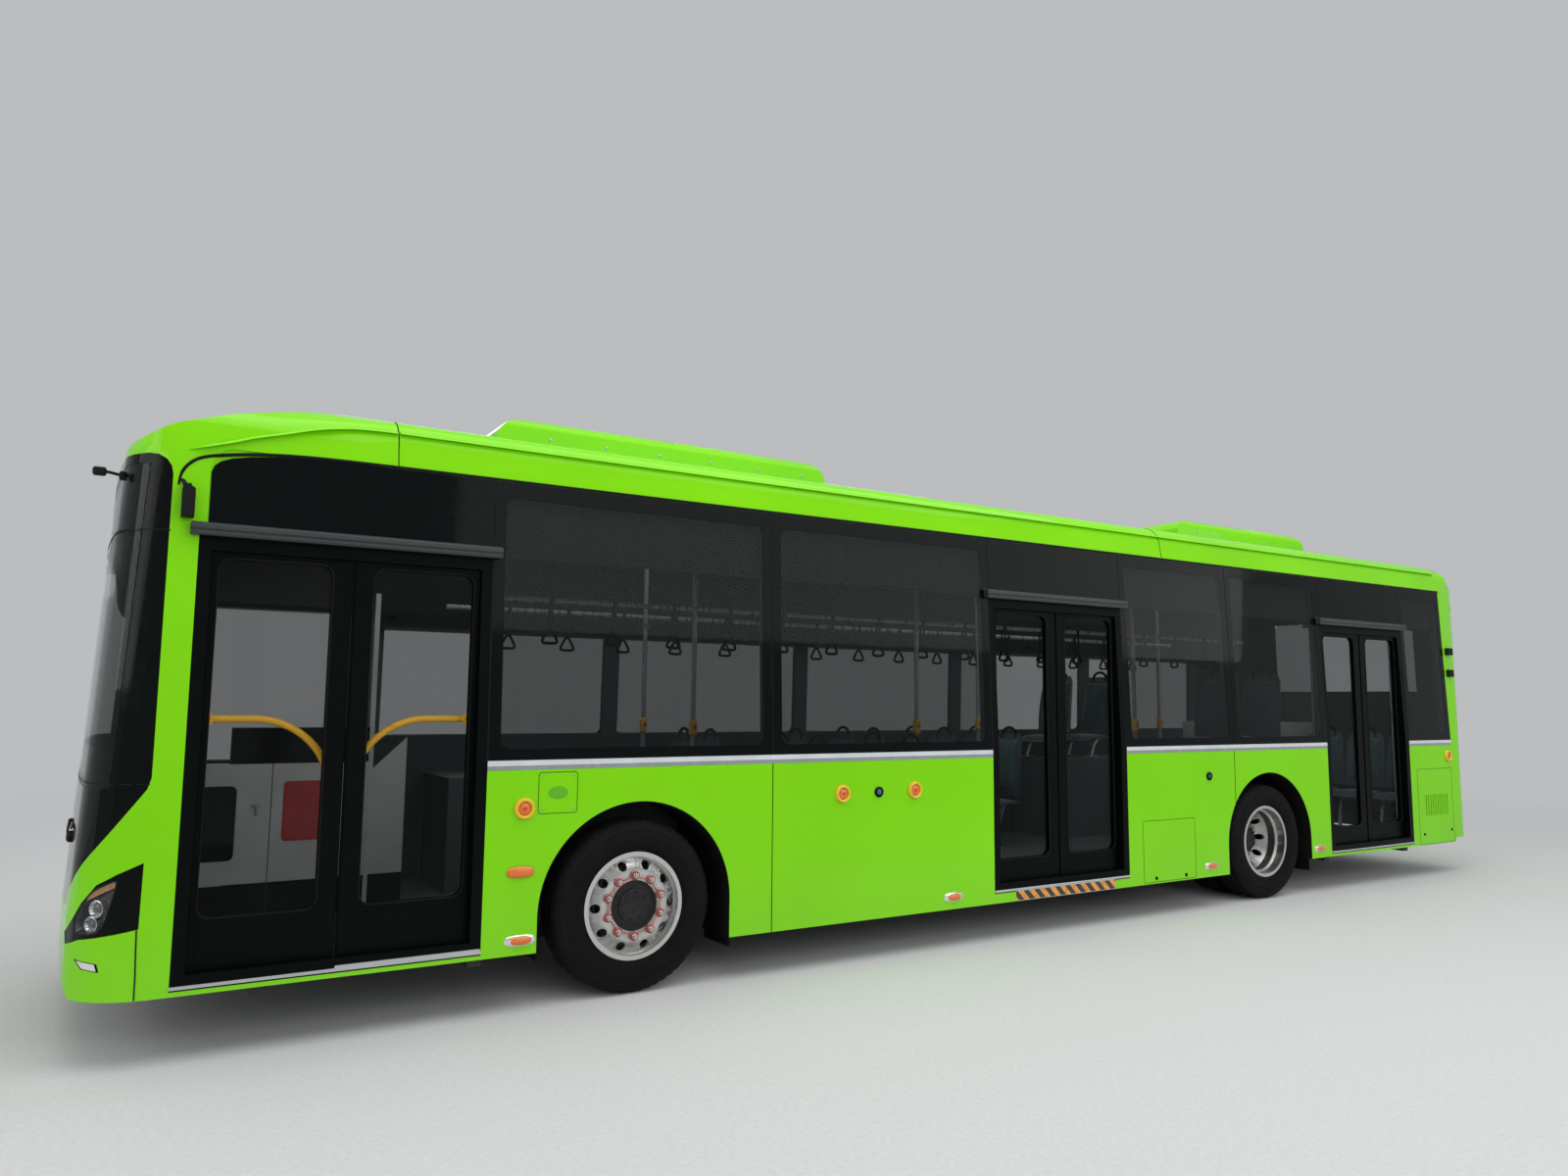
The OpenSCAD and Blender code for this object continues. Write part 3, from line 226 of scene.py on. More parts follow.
def onSide(shape, side=1):
    # lays a shape drawn in x, depth and z on a side wall: y = side * (half width at z + depth)
    x, depth, z = shape[0].T
    return points(x, side * (sideY(z) + depth), z), shape[1]


def plate(x0, x1, z0, z1, depth0, depth1, r=0.0005, n=1):
    return prism(roundRect(x0, x1, z0, z1, r, n), "y", depth0, depth1)


def sidePlate(x0, x1, z0, z1, depth0, depth1, side=1, r=0.0005, n=1):
    return onSide(plate(x0, x1, z0, z1, depth0, depth1, r, n), side)


def bothSides(shapes):
    # the shapes and their mirror images on the other side
    return shapes + [(v * np.array([1, -1, 1]), [f[:, ::-1] for f in faces]) for v, faces in shapes]


def moved(shape, offset):
    return shape[0] + np.asarray(offset, float), shape[1]


def turned(shape, centre, axis, angle):
    # turns a shape about an axis through centre
    m = np.array(Matrix.Rotation(angle, 3, Vector(axis)))
    return (shape[0] - centre) @ m.T + centre, shape[1]


# from shapes to pieces


def meshFromShape(name, shape, recalc=True):
    # the corners of all faces go in as one flat run, and each face says where its own run starts
    verts, faces = shape
    counts = np.concatenate([np.full(len(f), f.shape[1]) for f in faces])
    corners = np.concatenate([f.ravel() for f in faces])
    mesh = bpy.data.meshes.new(name)
    mesh.vertices.add(len(verts))
    mesh.vertices.foreach_set("co", np.asarray(verts, np.float32).ravel())
    mesh.loops.add(len(corners))
    mesh.loops.foreach_set("vertex_index", corners.astype(np.int32))
    mesh.polygons.add(len(counts))
    mesh.polygons.foreach_set("loop_start", (np.cumsum(counts) - counts).astype(np.int32))
    mesh.update(calc_edges=True)
    mesh.validate()
    if recalc:
        bm = bmesh.new()
        bm.from_mesh(mesh)
        bmesh.ops.recalc_face_normals(bm, faces=bm.faces)
        bm.to_mesh(mesh)
        bm.free()
    return mesh


def linked(name, data):
    made = bpy.data.objects.new(name, data)
    bpy.context.scene.collection.objects.link(made)
    return made


def dressPiece(name, mesh, look, body, angle, replaces):
    # shading and material, the body it rides on, and the CAD nodes it stands for, which are hidden
    mesh.shade_smooth()
    mesh.set_sharp_from_angle(angle=math.radians(angle))
    mesh.materials.clear()
    mesh.materials.append(looks[look])
    piece = linked(name, mesh)
    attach(piece, body)
    if replaces:
        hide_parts(*replaces)
    return piece


def addPiece(name, shapes, look, body="body", angle=35, replaces=()):
    return dressPiece(name, meshFromShape(name, joinShapes(shapes)), look, body, angle, replaces)


def smoothCopy(name, nodeName, look, body="body", angle=28, weigh=True):
    # a merged copy of a CAD node, shaded smooth across its shallow edges and flat across its sharp ones
    bm = bmesh.new()
    bm.from_mesh(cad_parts[nodeName].data)
    bmesh.ops.remove_doubles(bm, verts=bm.verts, dist=1e-5)
    bmesh.ops.dissolve_limit(bm, angle_limit=math.radians(0.5), verts=bm.verts, edges=bm.edges)
    mesh = bpy.data.meshes.new(name)
    bm.to_mesh(mesh)
    bm.free()
    piece = dressPiece(name, mesh, look, body, angle, (nodeName,))
    if weigh:
        piece.modifiers.new("faceWeights", "WEIGHTED_NORMAL").keep_sharp = True


# materials: each look has a name and the record slot of the pieces that wear it

looks, slots = {}, {}
shineSockets = {"coat": "Coat Weight", "coatRough": "Coat Roughness", "sheen": "Sheen Weight",
                "specular": "Specular IOR Level", "alpha": "Alpha"}


def dim(colour, k):
    return tuple(k * c for c in colour)


class Look:
    # a Principled material in the making, with textures on Object coordinates round a centre
    def __init__(self, name, colour, rough=0.5, metal=0.0, centre=(0, 0, 0), **shine):
        self.material = bpy.data.materials.new(name)
        self.material.use_nodes = True
        self.tree = self.material.node_tree
        self.shader = self.tree.nodes["Principled BSDF"]
        self.feed(self.shader, {"Base Color": colour, "Roughness": rough, "Metallic": metal})
        self.feed(self.shader, {shineSockets[key]: value for key, value in shine.items()})
        self.centre = centre
        self.place = self.point((1, 1, 1))

    def feed(self, target, inputs):
        # links an output to a socket, or puts a constant on it
        for key, value in inputs.items():
            socket = target.inputs[key]
            if isinstance(value, bpy.types.NodeSocket):
                self.tree.links.new(value, socket)
            else:
                socket.default_value = (*value, 1) if socket.type == "RGBA" else value

    def add(self, kind, inputs, **settings):
        made = self.tree.nodes.new("ShaderNode" + kind)
        for key, value in settings.items():
            setattr(made, key, value)
        self.feed(made, inputs)
        return made.outputs

    def point(self, scale):
        shift = tuple(-c * s for c, s in zip(self.centre, scale))
        coords = self.add("TexCoord", {})["Object"]
        return self.add("Mapping", {"Vector": coords, "Location": shift, "Scale": scale})["Vector"]

    def split(self):
        return self.add("SeparateXYZ", {"Vector": self.place})

    def noise(self, scale, detail=4.0, place=None):
        place = self.place if place is None else place
        return self.add("TexNoise", {"Vector": place, "Scale": scale, "Detail": detail,
                                     "Roughness": 0.55})["Fac"]

    def cells(self, scale):
        return self.add("TexVoronoi", {"Vector": self.place, "Scale": scale})["Distance"]

    def ramp(self, value, *stops):
        # stops are (position, grey or colour)
        made = self.tree.nodes.new("ShaderNodeValToRGB")
        elements = made.color_ramp.elements
        while len(elements) < len(stops):
            elements.new(0.5)
        for element, (position, colour) in zip(elements, stops):
            element.position = position
            element.color = (colour, colour, colour, 1) if np.isscalar(colour) else (*colour, 1)
        self.feed(made, {"Fac": value})
        return made.outputs["Color"]

    def mix(self, factor, a, b):
        return self.add("Mix", {0: factor, 6: a, 7: b}, data_type="RGBA")[2]

    def calc(self, operation, a, b=0.0):
        return self.add("Math", {0: a, 1: b}, operation=operation)[0]

    def times(self, a, b):
        return self.calc("MULTIPLY", a, b)

    def wave(self, a, rate):
        return self.calc("SINE", self.times(a, rate))

    def radius(self):
        # distance from a wheel's axis, which runs along y through the centre
        at = self.split()
        return self.calc("SQRT", self.calc("ADD", self.times(at["X"], at["X"]), self.times(at["Z"], at["Z"])))

    def paint(self, tone, rough=None):
        self.feed(self.shader, {"Base Color": tone})
        if rough is not None:
            self.feed(self.shader, {"Roughness": rough})

    def bump(self, height, strength, distance):
        made = self.add("Bump", {"Height": height, "Strength": strength, "Distance": distance})
        self.feed(self.shader, {"Normal": made["Normal"]})

    def keep(self, slotName):
        looks[self.material.name] = self.material
        slots[self.material.name] = slotName


def paintLook(name, colour, shade):
    # lacquered paint: faint tone drift, fine orange peel, and road film thickening towards the skirt
    look = Look(name, colour, 0.28, coat=0.2, coatRough=0.04, specular=0.08)
    drift = look.ramp(look.noise(0.7, 3), (0.3, shade), (0.7, colour))
    heights = {"Value": look.split()["Z"], "From Min": 0.25, "From Max": 0.75, "To Min": 0.11, "To Max": 0.0}
    film = look.times(look.add("MapRange", heights)["Result"], look.noise(5.0, 6))
    gloss = look.calc("ADD", look.times(film, 1.2), look.times(look.noise(3.0), 0.16))
    look.paint(look.mix(film, drift, (0.34, 0.33, 0.25)), gloss)
    look.bump(look.noise(260.0, 2), 0.035, 0.002)
    return look


def plasticLook(name, colour, rough=0.5, grain=900.0, strength=0.15, specular=0.4, coat=0.0):
    # moulded plastic or powder coat: a fine grain and slightly uneven gloss
    look = Look(name, colour, rough, specular=specular, coat=coat)
    gloss = look.ramp(look.noise(14.0), (0.3, max(rough - 0.08, 0.02)), (0.75, min(rough + 0.08, 1.0)))
    look.paint(look.ramp(look.noise(4.0), (0.35, dim(colour, 0.86)), (0.7, colour)), gloss)
    look.bump(look.noise(grain, 2), strength, 0.0006)
    return look


def glassLook(name, colour, alpha):
    # tinted pane: dark film seen through by its alpha, with a clear mirror-smooth face
    look = Look(name, colour, 0.03, specular=0.3, alpha=alpha)
    look.paint(look.ramp(look.noise(1.3), (0.3, dim(colour, 0.8)), (0.7, colour)),
               look.ramp(look.noise(2.2, 5), (0.35, 0.015), (0.8, 0.035)))
    return look


def metalLook(name, colour, rough=0.3, scratch=60.0, stretch=(1, 1, 1), dirt=0.25, metal=1.0):
    # bare or plated metal: stretched fine scratches in the gloss, and dull patches
    look = Look(name, colour, rough, metal)
    fine = look.noise(scratch, 5, look.point(stretch))
    look.paint(look.mix(look.times(look.noise(6.0, 5), dirt), colour, dim(colour, 0.35)),
               look.ramp(fine, (0.3, max(rough - 0.1, 0.03)), (0.7, min(rough + 0.12, 1))))
    look.bump(fine, 0.05, 0.001)
    return look


def rimLook(name, centre):
    # polished alloy: turning rings by radius, brake dust near the hub and in patches
    look = Look(name, (0.66, 0.67, 0.68), 0.16, 1.0, centre)
    radius = look.radius()
    near = look.ramp(radius, (0.14, 0.80), (0.19, 0.25), (0.205, 1.0), (0.262, 0.9), (0.275, 0.1))
    dust = look.times(near, look.noise(7.0, 2))
    gloss = look.ramp(look.noise(12.0, 2), (0.3, 0.14), (0.75, 0.22))
    look.paint(look.mix(dust, (0.62, 0.61, 0.60), (0.16, 0.155, 0.15)),
               look.calc("ADD", look.times(dust, 0.35), gloss))
    look.bump(look.wave(radius, 1800.0), 0.012, 0.0002)
    look.keep("polished_alloy")


def tyreLook(name, centre):
    # rubber: near black, with dust greying the side wall and the tread, and fine moulding rings
    look = Look(name, (0.008, 0.008, 0.009), 0.72, centre=centre, specular=0.08)
    radius = look.radius()
    near = look.ramp(radius, (0.30, 0.1), (0.40, 0.35), (0.468, 0.9), (0.48, 1.0))
    worn = look.times(near, look.noise(9.0, 6))
    look.paint(look.mix(worn, (0.004, 0.0045, 0.0045), (0.017, 0.0168, 0.016)),
               look.ramp(look.noise(16.0), (0.3, 0.6), (0.7, 0.85)))
    look.bump(look.calc("ADD", look.wave(radius, 900.0), look.noise(240.0)), 0.12, 0.0008)
    look.keep("tyre")


def fabricLook(name, colour, accent):
    # woven moquette: crossed threads, a scatter of lighter flecks, and a soft sheen
    look = Look(name, colour, 0.92, sheen=0.35, specular=0.2)
    at = look.split()
    threads = look.times(look.wave(at["Y"], 1500.0), look.wave(look.calc("ADD", at["X"], at["Z"]), 1500.0))
    spot = look.ramp(look.cells(70.0), (0.12, 0.9), (0.2, 0.0))
    look.paint(look.mix(spot, look.ramp(look.noise(8.0), (0.3, dim(colour, 0.75)), (0.7, colour)), accent))
    look.bump(threads, 0.3, 0.0006)
    return look


def floorLook(name, colour, fleck):
    # safety vinyl: dense pale and dark specks with a matt, slightly scuffed top
    look = Look(name, colour, 0.62, specular=0.3)
    cells = look.cells(190.0)
    scuff = look.ramp(look.noise(3.0, 6), (0.35, dim(colour, 0.75)), (0.7, colour))
    look.paint(look.mix(look.ramp(cells, (0.1, 1.0), (0.22, 0.0)), scuff, fleck))
    look.bump(cells, 0.15, 0.0005)
    return look


def hazardLook(name, width):
    # slanted warning bars: the place up less the place along, wrapped by the bar's width
    look = Look(name, (0.8, 0.3, 0.03), 0.35, coat=0.3)
    at = look.split()
    wrap = look.calc("FRACT", look.times(look.calc("SUBTRACT", at["Z"], at["X"]), 1.0 / width))
    orange = look.ramp(look.noise(30.0, 6), (0.3, (0.52, 0.20, 0.03)), (0.7, (0.86, 0.36, 0.06)))
    edge = look.ramp(wrap, (0.0, 0.0), (0.495, 0.0), (0.505, 1.0), (1.0, 1.0))
    look.paint(look.mix(edge, (0.02, 0.02, 0.022), orange))
    return look


def lensLook(name, colour, alpha=1.0, rough=0.08, ribs=350.0):
    # moulded lens: coloured plastic with fine vertical prisms under a clear coat
    look = Look(name, colour, rough, coat=0.8, coatRough=0.03, alpha=alpha)
    at = look.split()
    prisms = look.wave(look.calc("ADD", at["X"], at["Y"]), ribs)
    look.paint(look.ramp(prisms, (0.2, dim(colour, 0.8)), (0.8, colour)))
    look.bump(prisms, 0.08, 0.0006)
    return look


# record slot, colour, and then each maker's own values in its order
lookTable = {
    paintLook: {
        "greenPaint": ("green_paint", (0.205, 0.655, 0.003), (0.185, 0.595, 0.0025)),
        "ovalGreen": ("green_paint", (0.12, 0.44, 0.02), (0.11, 0.40, 0.02)),
    },
    plasticLook: {
        "blackGloss": ("black_gloss", (0.0013, 0.0024, 0.0022), 0.08, 300, 0.02, 0.12),
        "blackFrit": ("tinted_glass", (0.0010, 0.0026, 0.0024), 0.04, 300, 0.01, 0.12),
        "blackSatin": ("black_plastic", (0.0020, 0.0032, 0.0030), 0.36, 700, 0.06, 0.06),
        "blackMatt": ("black_plastic", (0.008, 0.008, 0.009), 0.6, 700, 0.25, 0.15),
        "gasketRubber": ("rubber", (0.006, 0.006, 0.0065), 0.55, 500, 0.2, 0.15),
        "seamShadow": ("rubber", (0.010, 0.014, 0.008), 0.85, 500, 0.1, 0.1),
        # painted shade: a darker green for the hatch grooves, standing in for the shade inside the gap round
        # each hatch
        "grooveGreen": ("rubber", (0.040, 0.13, 0.008), 0.8, 500, 0.1, 0.1),
        "flapRubber": ("rubber", (0.006, 0.006, 0.006), 0.8, 200, 0.4, 0.1),
        "stripeWhite": ("aluminium", (0.62, 0.65, 0.68), 0.22, 300, 0.02, 0.5, 0.4),
        "stripeGrey": ("grey_paint", (0.25, 0.28, 0.29), 0.25, 300, 0.02, 0.5, 0.4),
        "wallPanel": ("grey_paint", (0.55, 0.56, 0.56), 0.45, 500, 0.12),
        "ceilingPanel": ("grey_paint", (0.20, 0.21, 0.21), 0.5, 300, 0.08),
        "liningGrey": ("grey_paint", (0.032, 0.040, 0.040), 0.5, 500, 0.12, 0.3),
        "ductGrey": ("black_plastic", (0.022, 0.026, 0.027), 0.5, 500, 0.1, 0.3),
        "seatShell": ("black_plastic", (0.05, 0.065, 0.066), 0.5, 800, 0.2),
        "dashPlastic": ("dash_plastic", (0.035, 0.037, 0.04), 0.55, 900, 0.3),
        "chassisPaint": ("chassis_paint", (0.028, 0.028, 0.03), 0.6, 120, 0.3, 0.3),
        "yellowTube": ("lens", (0.95, 0.52, 0.02), 0.3, 400, 0.05, 0.4, 0.2),
        "yellowRing": ("lens", (0.80, 0.50, 0.02), 0.3, 400, 0.05, 0.5, 0.3),
        "blueRing": ("lens", (0.01, 0.10, 0.22), 0.3, 400, 0.05, 0.5, 0.3),
        "redPlastic": ("lens", (0.62, 0.045, 0.03), 0.4, 400, 0.1),
        "redPanel": ("lens", (0.45, 0.018, 0.018), 0.35, 400, 0.05, 0.4, 0.3),
        "beamGlass": ("lens", (0.10, 0.11, 0.12), 0.04, 300, 0.0, 1.0, 0.8),
    },
    metalLook: {
        "gutterGrey": ("grey_paint", (0.042, 0.050, 0.050), 0.45, 40, (0.05, 1, 1), 0.3, 0.3),
        "silverTrim": ("aluminium", (0.62, 0.64, 0.66), 0.32, 50, (0.05, 1, 1), 0.2),
        "stanchionGrey": ("grey_paint", (0.45, 0.47, 0.48), 0.3, 30, (1, 1, 0.05), 0.15, 0.7),
        "castIron": ("iron", (0.11, 0.105, 0.10), 0.6, 40, (1, 1, 1), 0.5, 0.6),
        "steelPlate": ("steel", (0.5, 0.51, 0.52), 0.35),
        "chromeCase": ("lens", (0.85, 0.86, 0.87), 0.12, 40, (1, 1, 1), 0.1),
        "nutChrome": ("steel", (0.58, 0.53, 0.50), 0.25, 80, (1, 1, 1), 0.35),
        "hubIron": ("iron", (0.012, 0.011, 0.011), 0.6, 40, (1, 1, 1), 0.5, 0.2),
        "lampBowl": ("lens", (0.14, 0.14, 0.145), 0.22, 50, (1, 1, 1), 0.3, 0.8),
    },
    glassLook: {
        "sideGlass": ("tinted_glass", (0.0018, 0.004, 0.004), 0.42),
        "doorGlass": ("tinted_glass", (0.002, 0.004, 0.004), 0.15),
        "screenGlass": ("tinted_glass", (0.008, 0.014, 0.013), 0.40),
        "lampCover": ("lens", (0.05, 0.055, 0.055), 0.16),
    },
    lensLook: {
        "amberLens": ("lens", (0.78, 0.17, 0.008)), "redLens": ("lens", (0.60, 0.012, 0.008)),
        "clearLens": ("lens", (0.75, 0.78, 0.80), 0.35),
        "amberStrip": ("lens", (0.70, 0.36, 0.14), 1.0, 0.15, 700.0),
    },
    floorLook: {"floorVinyl": ("floor", (0.075, 0.085, 0.09), (0.28, 0.29, 0.29))},
    fabricLook: {"seatCloth": ("seat_fabric", (0.035, 0.075, 0.078), (0.10, 0.22, 0.20))},
    hazardLook: {"hazardBars": ("black_plastic", 0.104)},
}
for maker, table in lookTable.items():
    for name, (slotName, *values) in table.items():
        maker(name, *values).keep(slotName)
print("materials made:", len(looks))

# camera, stage and lights

stage = {"colour": (0.80, 0.82, 0.84), "strength": 0.62, "half": 90.0, "fade": (6.5, 17.0)}
cameraPlace = {"at": (5.8326, 6.8219, 1.6302), "yaw": 0.56027, "pitch": 0.107185, "roll": 0.0090635,
               "pixels": 1079.0}
lights = {  # place, aim, size, power, seen in reflections
    "overhead": ((0.5, 3.0, 9.5), (0, 0, 1), (16, 9), 780, True),
    "doorSide": ((3.0, 13.0, 5.5), (0, 0, 1.2), (14, 6), 370, False),
    "skyBand": ((-9.4, 13.0, 6.1), (-9.4, 0.0, 4.4), (21.2, 5.0), 340, True),
    "farSide": ((-2.0, -12.0, 6.0), (0, 0, 1.5), (14, 6), 420, True),
    "ahead": ((14.0, 2.0, 5.0), (3, 0, 1.5), (7, 6), 260, True),
}
for x in (3.2, -0.6, -4.2):
    lights[f"cabin_{x:.0f}"] = ((x, 0.0, 2.72), (x, 0, 0), (2.6, 0.5), 14, False)


def addCamera():
    # forward from yaw and pitch, then right and up turned by the roll
    turns = [cameraPlace[k] for k in ("yaw", "pitch", "roll")]
    (cy, cp, c), (sy, sp, s) = map(math.cos, turns), map(math.sin, turns)
    ahead = Vector((-sy * cp, -cy * cp, sp))
    right = ahead.cross(Vector((0, 0, 1))).normalized()
    above = right.cross(ahead)
    axes = Matrix((right * c + above * s, above * c - right * s, -ahead)).transposed()
    data = bpy.data.cameras.new("camera")
    data.sensor_fit = "HORIZONTAL"
    data.sensor_width = 36.0
    data.lens = cameraPlace["pixels"] / 1600 * 36.0  # the photo is 1600 pixels wide
    data.clip_end = 200
    camera = linked("camera", data)
    camera.matrix_world = Matrix.Translation(cameraPlace["at"]) @ axes.to_4x4()
    bpy.context.scene.camera = camera


def addStage():
    # a pale floor that fades into the world's colour with distance from the middle
    h, (near, far) = stage["half"], stage["fade"]
    corners = np.array([[-h, -h, 0], [h, -h, 0], [h, h, 0], [-h, h, 0]])
    floor = linked("studioFloor", meshFromShape("studioFloor", (corners, [np.array([[0, 1, 2, 3]])]), False))
    look = Look("studioFloorPaint", (0.60, 0.60, 0.59), 0.7, specular=0.2)
    look.paint(look.ramp(look.noise(40.0, 6), (0.3, 0.56), (0.7, 0.62)))
    away = {"Value": look.add("VectorMath", {0: look.place}, operation="LENGTH")["Value"], "From Min": near,
            "From Max": far}
    fade = look.add("MapRange", away, interpolation_type="SMOOTHSTEP")["Result"]
    glow = look.add("Emission", {"Color": stage["colour"], "Strength": stage["strength"]})["Emission"]
    blend = look.add("MixShader", {0: fade, 1: look.shader.outputs["BSDF"], 2: glow})["Shader"]
    look.feed(look.tree.nodes["Material Output"], {"Surface": blend})
    floor.data.materials.append(look.material)


def addWorld():
    world = bpy.data.worlds.new("studio")
    world.use_nodes = True
    back = world.node_tree.nodes["Background"]
    back.inputs["Color"].default_value = (*stage["colour"], 1)
    back.inputs["Strength"].default_value = stage["strength"]
    bpy.context.scene.world = world


def addLight(name, at, towards, size, power, shown):
    data = bpy.data.lights.new(name, "AREA")
    data.shape, data.size, data.size_y, data.energy = "RECTANGLE", size[0], size[1], power
    lamp = linked(name, data)
    lamp.location = at
    lamp.rotation_euler = (Vector(towards) - Vector(at)).to_track_quat("-Z", "Y").to_euler()
    lamp.visible_camera = False
    lamp.visible_glossy = shown


bpy.context.scene.view_settings.view_transform = "Standard"
addCamera()
addStage()
addWorld()
for name, values in lights.items():
    addLight(name, *values)
print("camera, stage and lights set")

# CAD nodes that keep their shape, and smooth copies that stand for others

finishes = {
    "left_side": "greenPaint", "right_side": "greenPaint", "floor": "floorVinyl",
    "underframe": "chassisPaint", "sign_box": "blackMatt", "dash": "dashPlastic",
    "driver_screen": "seatShell", "grab_rails": "stanchionGrey", "axles": "castIron",
    "power_unit": "wallPanel", "mudflaps": "flapRubber", "knuckle_left": "castIron",
    "knuckle_right": "castIron", "door_guides": "steelPlate", "steering_wheel": "blackMatt",
    "door_portals": "blackSatin", "door_gutters": "gutterGrey",
}
doorFinishes = {"glass": "doorGlass", "leaf": "blackSatin", "column": "stanchionGrey"}
skins = {  # piece: CAD node, look, angle from which an edge is sharp, weighted normals
    "roofSkin": ("roof", "greenPaint", 28, True), "frontCapSkin": ("front_cap", "greenPaint", 56, False),
    "frontPanelSkin": ("front_panel", "greenPaint", 28, True),
    "rearSkin": ("rear_end", "greenPaint", 50, True),
    "roofFairings": ("roof_units", "greenPaint", 52, True),
    "frontMaskSkin": ("front_mask", "blackGloss", 28, True),
    "windscreenPane": ("windscreen", "screenGlass", 28, True),
}
for name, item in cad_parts.items():
    look = finishes.get(name) or doorFinishes.get(name.rsplit("_", 1)[-1])
    if look:
        item.data.materials.clear()
        item.data.materials.append(looks[look])
for name, (nodeName, look, angle, weigh) in skins.items():
    smoothCopy(name, nodeName, look, angle=angle, weigh=weigh)
for name, side in sides.items():
    for axle, rim, axleX, body in (("front", "rim", bus["frontAxleX"], "wheel"),
                                   ("rear", "rims", bus["rearAxleX"], "wheels")):
        pieceName = f"{axle}{rim.capitalize()}_{name}"
        rimLook(pieceName, (axleX, side * bus["tyreY"], bus["axleZ"]))
        smoothCopy(pieceName, f"{axle}_{name}_{rim}", pieceName, f"{axle}_{name}_{body}")
print("CAD nodes finished")

# side windows: tinted panes with an opaque black border, flush with each other

glazing = {
    "thick": 0.006, "gap": 0.008, "border": 0.062, "topBorder": 0.03, "cornerR": 0.05, "jointHalf": 0.0045,
    "lowZ": (bus["beltZ"], 2.4412, 1.150),  # of each kind: over the belt, over a door, beside the driver
    "frontCorner": ((5.516, 2.690), (5.505, 2.722), (5.480, 2.746), (5.430, 2.766), (5.350, 2.783),
                    (5.220, 2.799), (5.000, 2.811)),
    "panes": {  # by side: front end, rear end, kind
        1: ((5.52, 4.160, 1), (4.160, 2.404, 0), (2.404, 0.590, 0), (0.590, -0.800, 1),
            (-0.800, -2.140, 0), (-2.140, -3.490, 0), (-3.490, -4.880, 1), (-4.880, -5.670, 0)),
        -1: ((5.52, 4.280, 2), (4.280, 2.448, 0), (2.448, 0.616, 0), (0.616, -1.216, 0),
             (-1.216, -3.048, 0), (-3.048, -4.880, 0)),
    },
}


def addGlazing():
    clear, border, joints = [], [], []
    g, b, t, top = glazing["gap"] / 2, glazing["border"], glazing["thick"], bus["cantrailZ"]
    for side, panes in glazing["panes"].items():
        for x1, x0, kind in panes:
            z0 = glazing["lowZ"][kind]
            outer = roundRect(x0 + g, x1 - g, z0, top, 0.004, 6)
            if x1 > bus["doorX"][0]:
                outer[7:14] = glazing["frontCorner"]
            if kind == 1:
                border.append(onSide(prism(outer, "y", -t, 0), side))
                continue
            inner = roundRect(x0 + g + b, x1 - g - b, z0 + b, top - b - glazing["topBorder"],
                              glazing["cornerR"], 6)
            border.append(onSide(band(outer, inner, -t, 0.0), side))
            clear.append(onSide(prism(inner, "y", -t, 0.0), side))
        h = glazing["jointHalf"]
        joints += [sidePlate(x - h, x + h, bus["beltZ"], top, -0.006, -0.0012, side, 0.001)
                   for _, x, _ in panes[:-1]]
    addPiece("sideWindowPanes", clear, "sideGlass", replaces=("windows",))
    addPiece("sideWindowBorders", border, "blackFrit")
    addPiece("windowJoints", joints, "gasketRubber")


addGlazing()
print("side glazing made")

# stripes, seams and mouldings on the outside

trim = {
    "stripeZ": (1.256, 1.279, 1.307),
    "stripeRuns": ((1, 4.160, 0.592, 0.0), (1, -0.802, -3.488, 0.0), (1, -4.882, -5.67, 0.0),
                   (-1, 5.545, 4.276, 0.157), (-1, 4.276, -5.67, 0.0)),  # side, front end, rear end, drop
    "panelGaps": ((2.405, 0.253), (-2.128, 0.80)), "gapTop": {1: 1.256, -1: 1.30},
    "roofSeams": (4.6675, -1.340), "gapWidth": 0.005, "edge": (1.010, 2.925, 0.170), "foldTurn": 30.0,
    "foldProfile": ((-0.026, -0.009), (-0.022, -0.001), (-0.010, 0.0048), (0.0, 0.0062), (0.010, 0.0035),
                    (0.024, -0.009)),
    "fall": ((4.80, 1.1585, 3.007), (4.89, 1.1615, 3.001), (4.98, 1.167, 2.987), (5.075, 1.174, 2.967),
             (5.21, 1.1805, 2.922), (5.34, 1.1865, 2.886), (5.42, 1.1925, 2.853), (5.484, 1.197, 2.832),
             (5.56, 1.1985, 2.807), (5.62, 1.1975, 2.786)),
    "rainCorner": ((5.648, 2.612), (5.646, 2.640), (5.638, 2.676), (5.620, 2.708), (5.588, 2.740),
                   (5.550, 2.758), (5.505, 2.770), (5.43, 2.784), (5.35, 2.796), (5.20, 2.811), (5.0, 2.818),
                   (4.7, 2.819)),
    "rainBead": ((-0.0075, -0.003), (-0.0075, 0.003), (-0.004, 0.0065), (0.004, 0.0065), (0.0075, 0.003),
                 (0.0075, -0.003)),
}


def crossLine(inward):
    # the outline of the body in y and z from the left cantrail over the roof to the right one
    y, z, r = trim["edge"]
    half = np.vstack([[[1.2 - inward, 2.811]], arc(y, z, r - inward, 0, 82, 15),
                      [[0.5555, 3.116 - inward], [0.0, 3.125 - inward]]])
    return np.vstack([half, (half * [-1, 1])[-2::-1]])


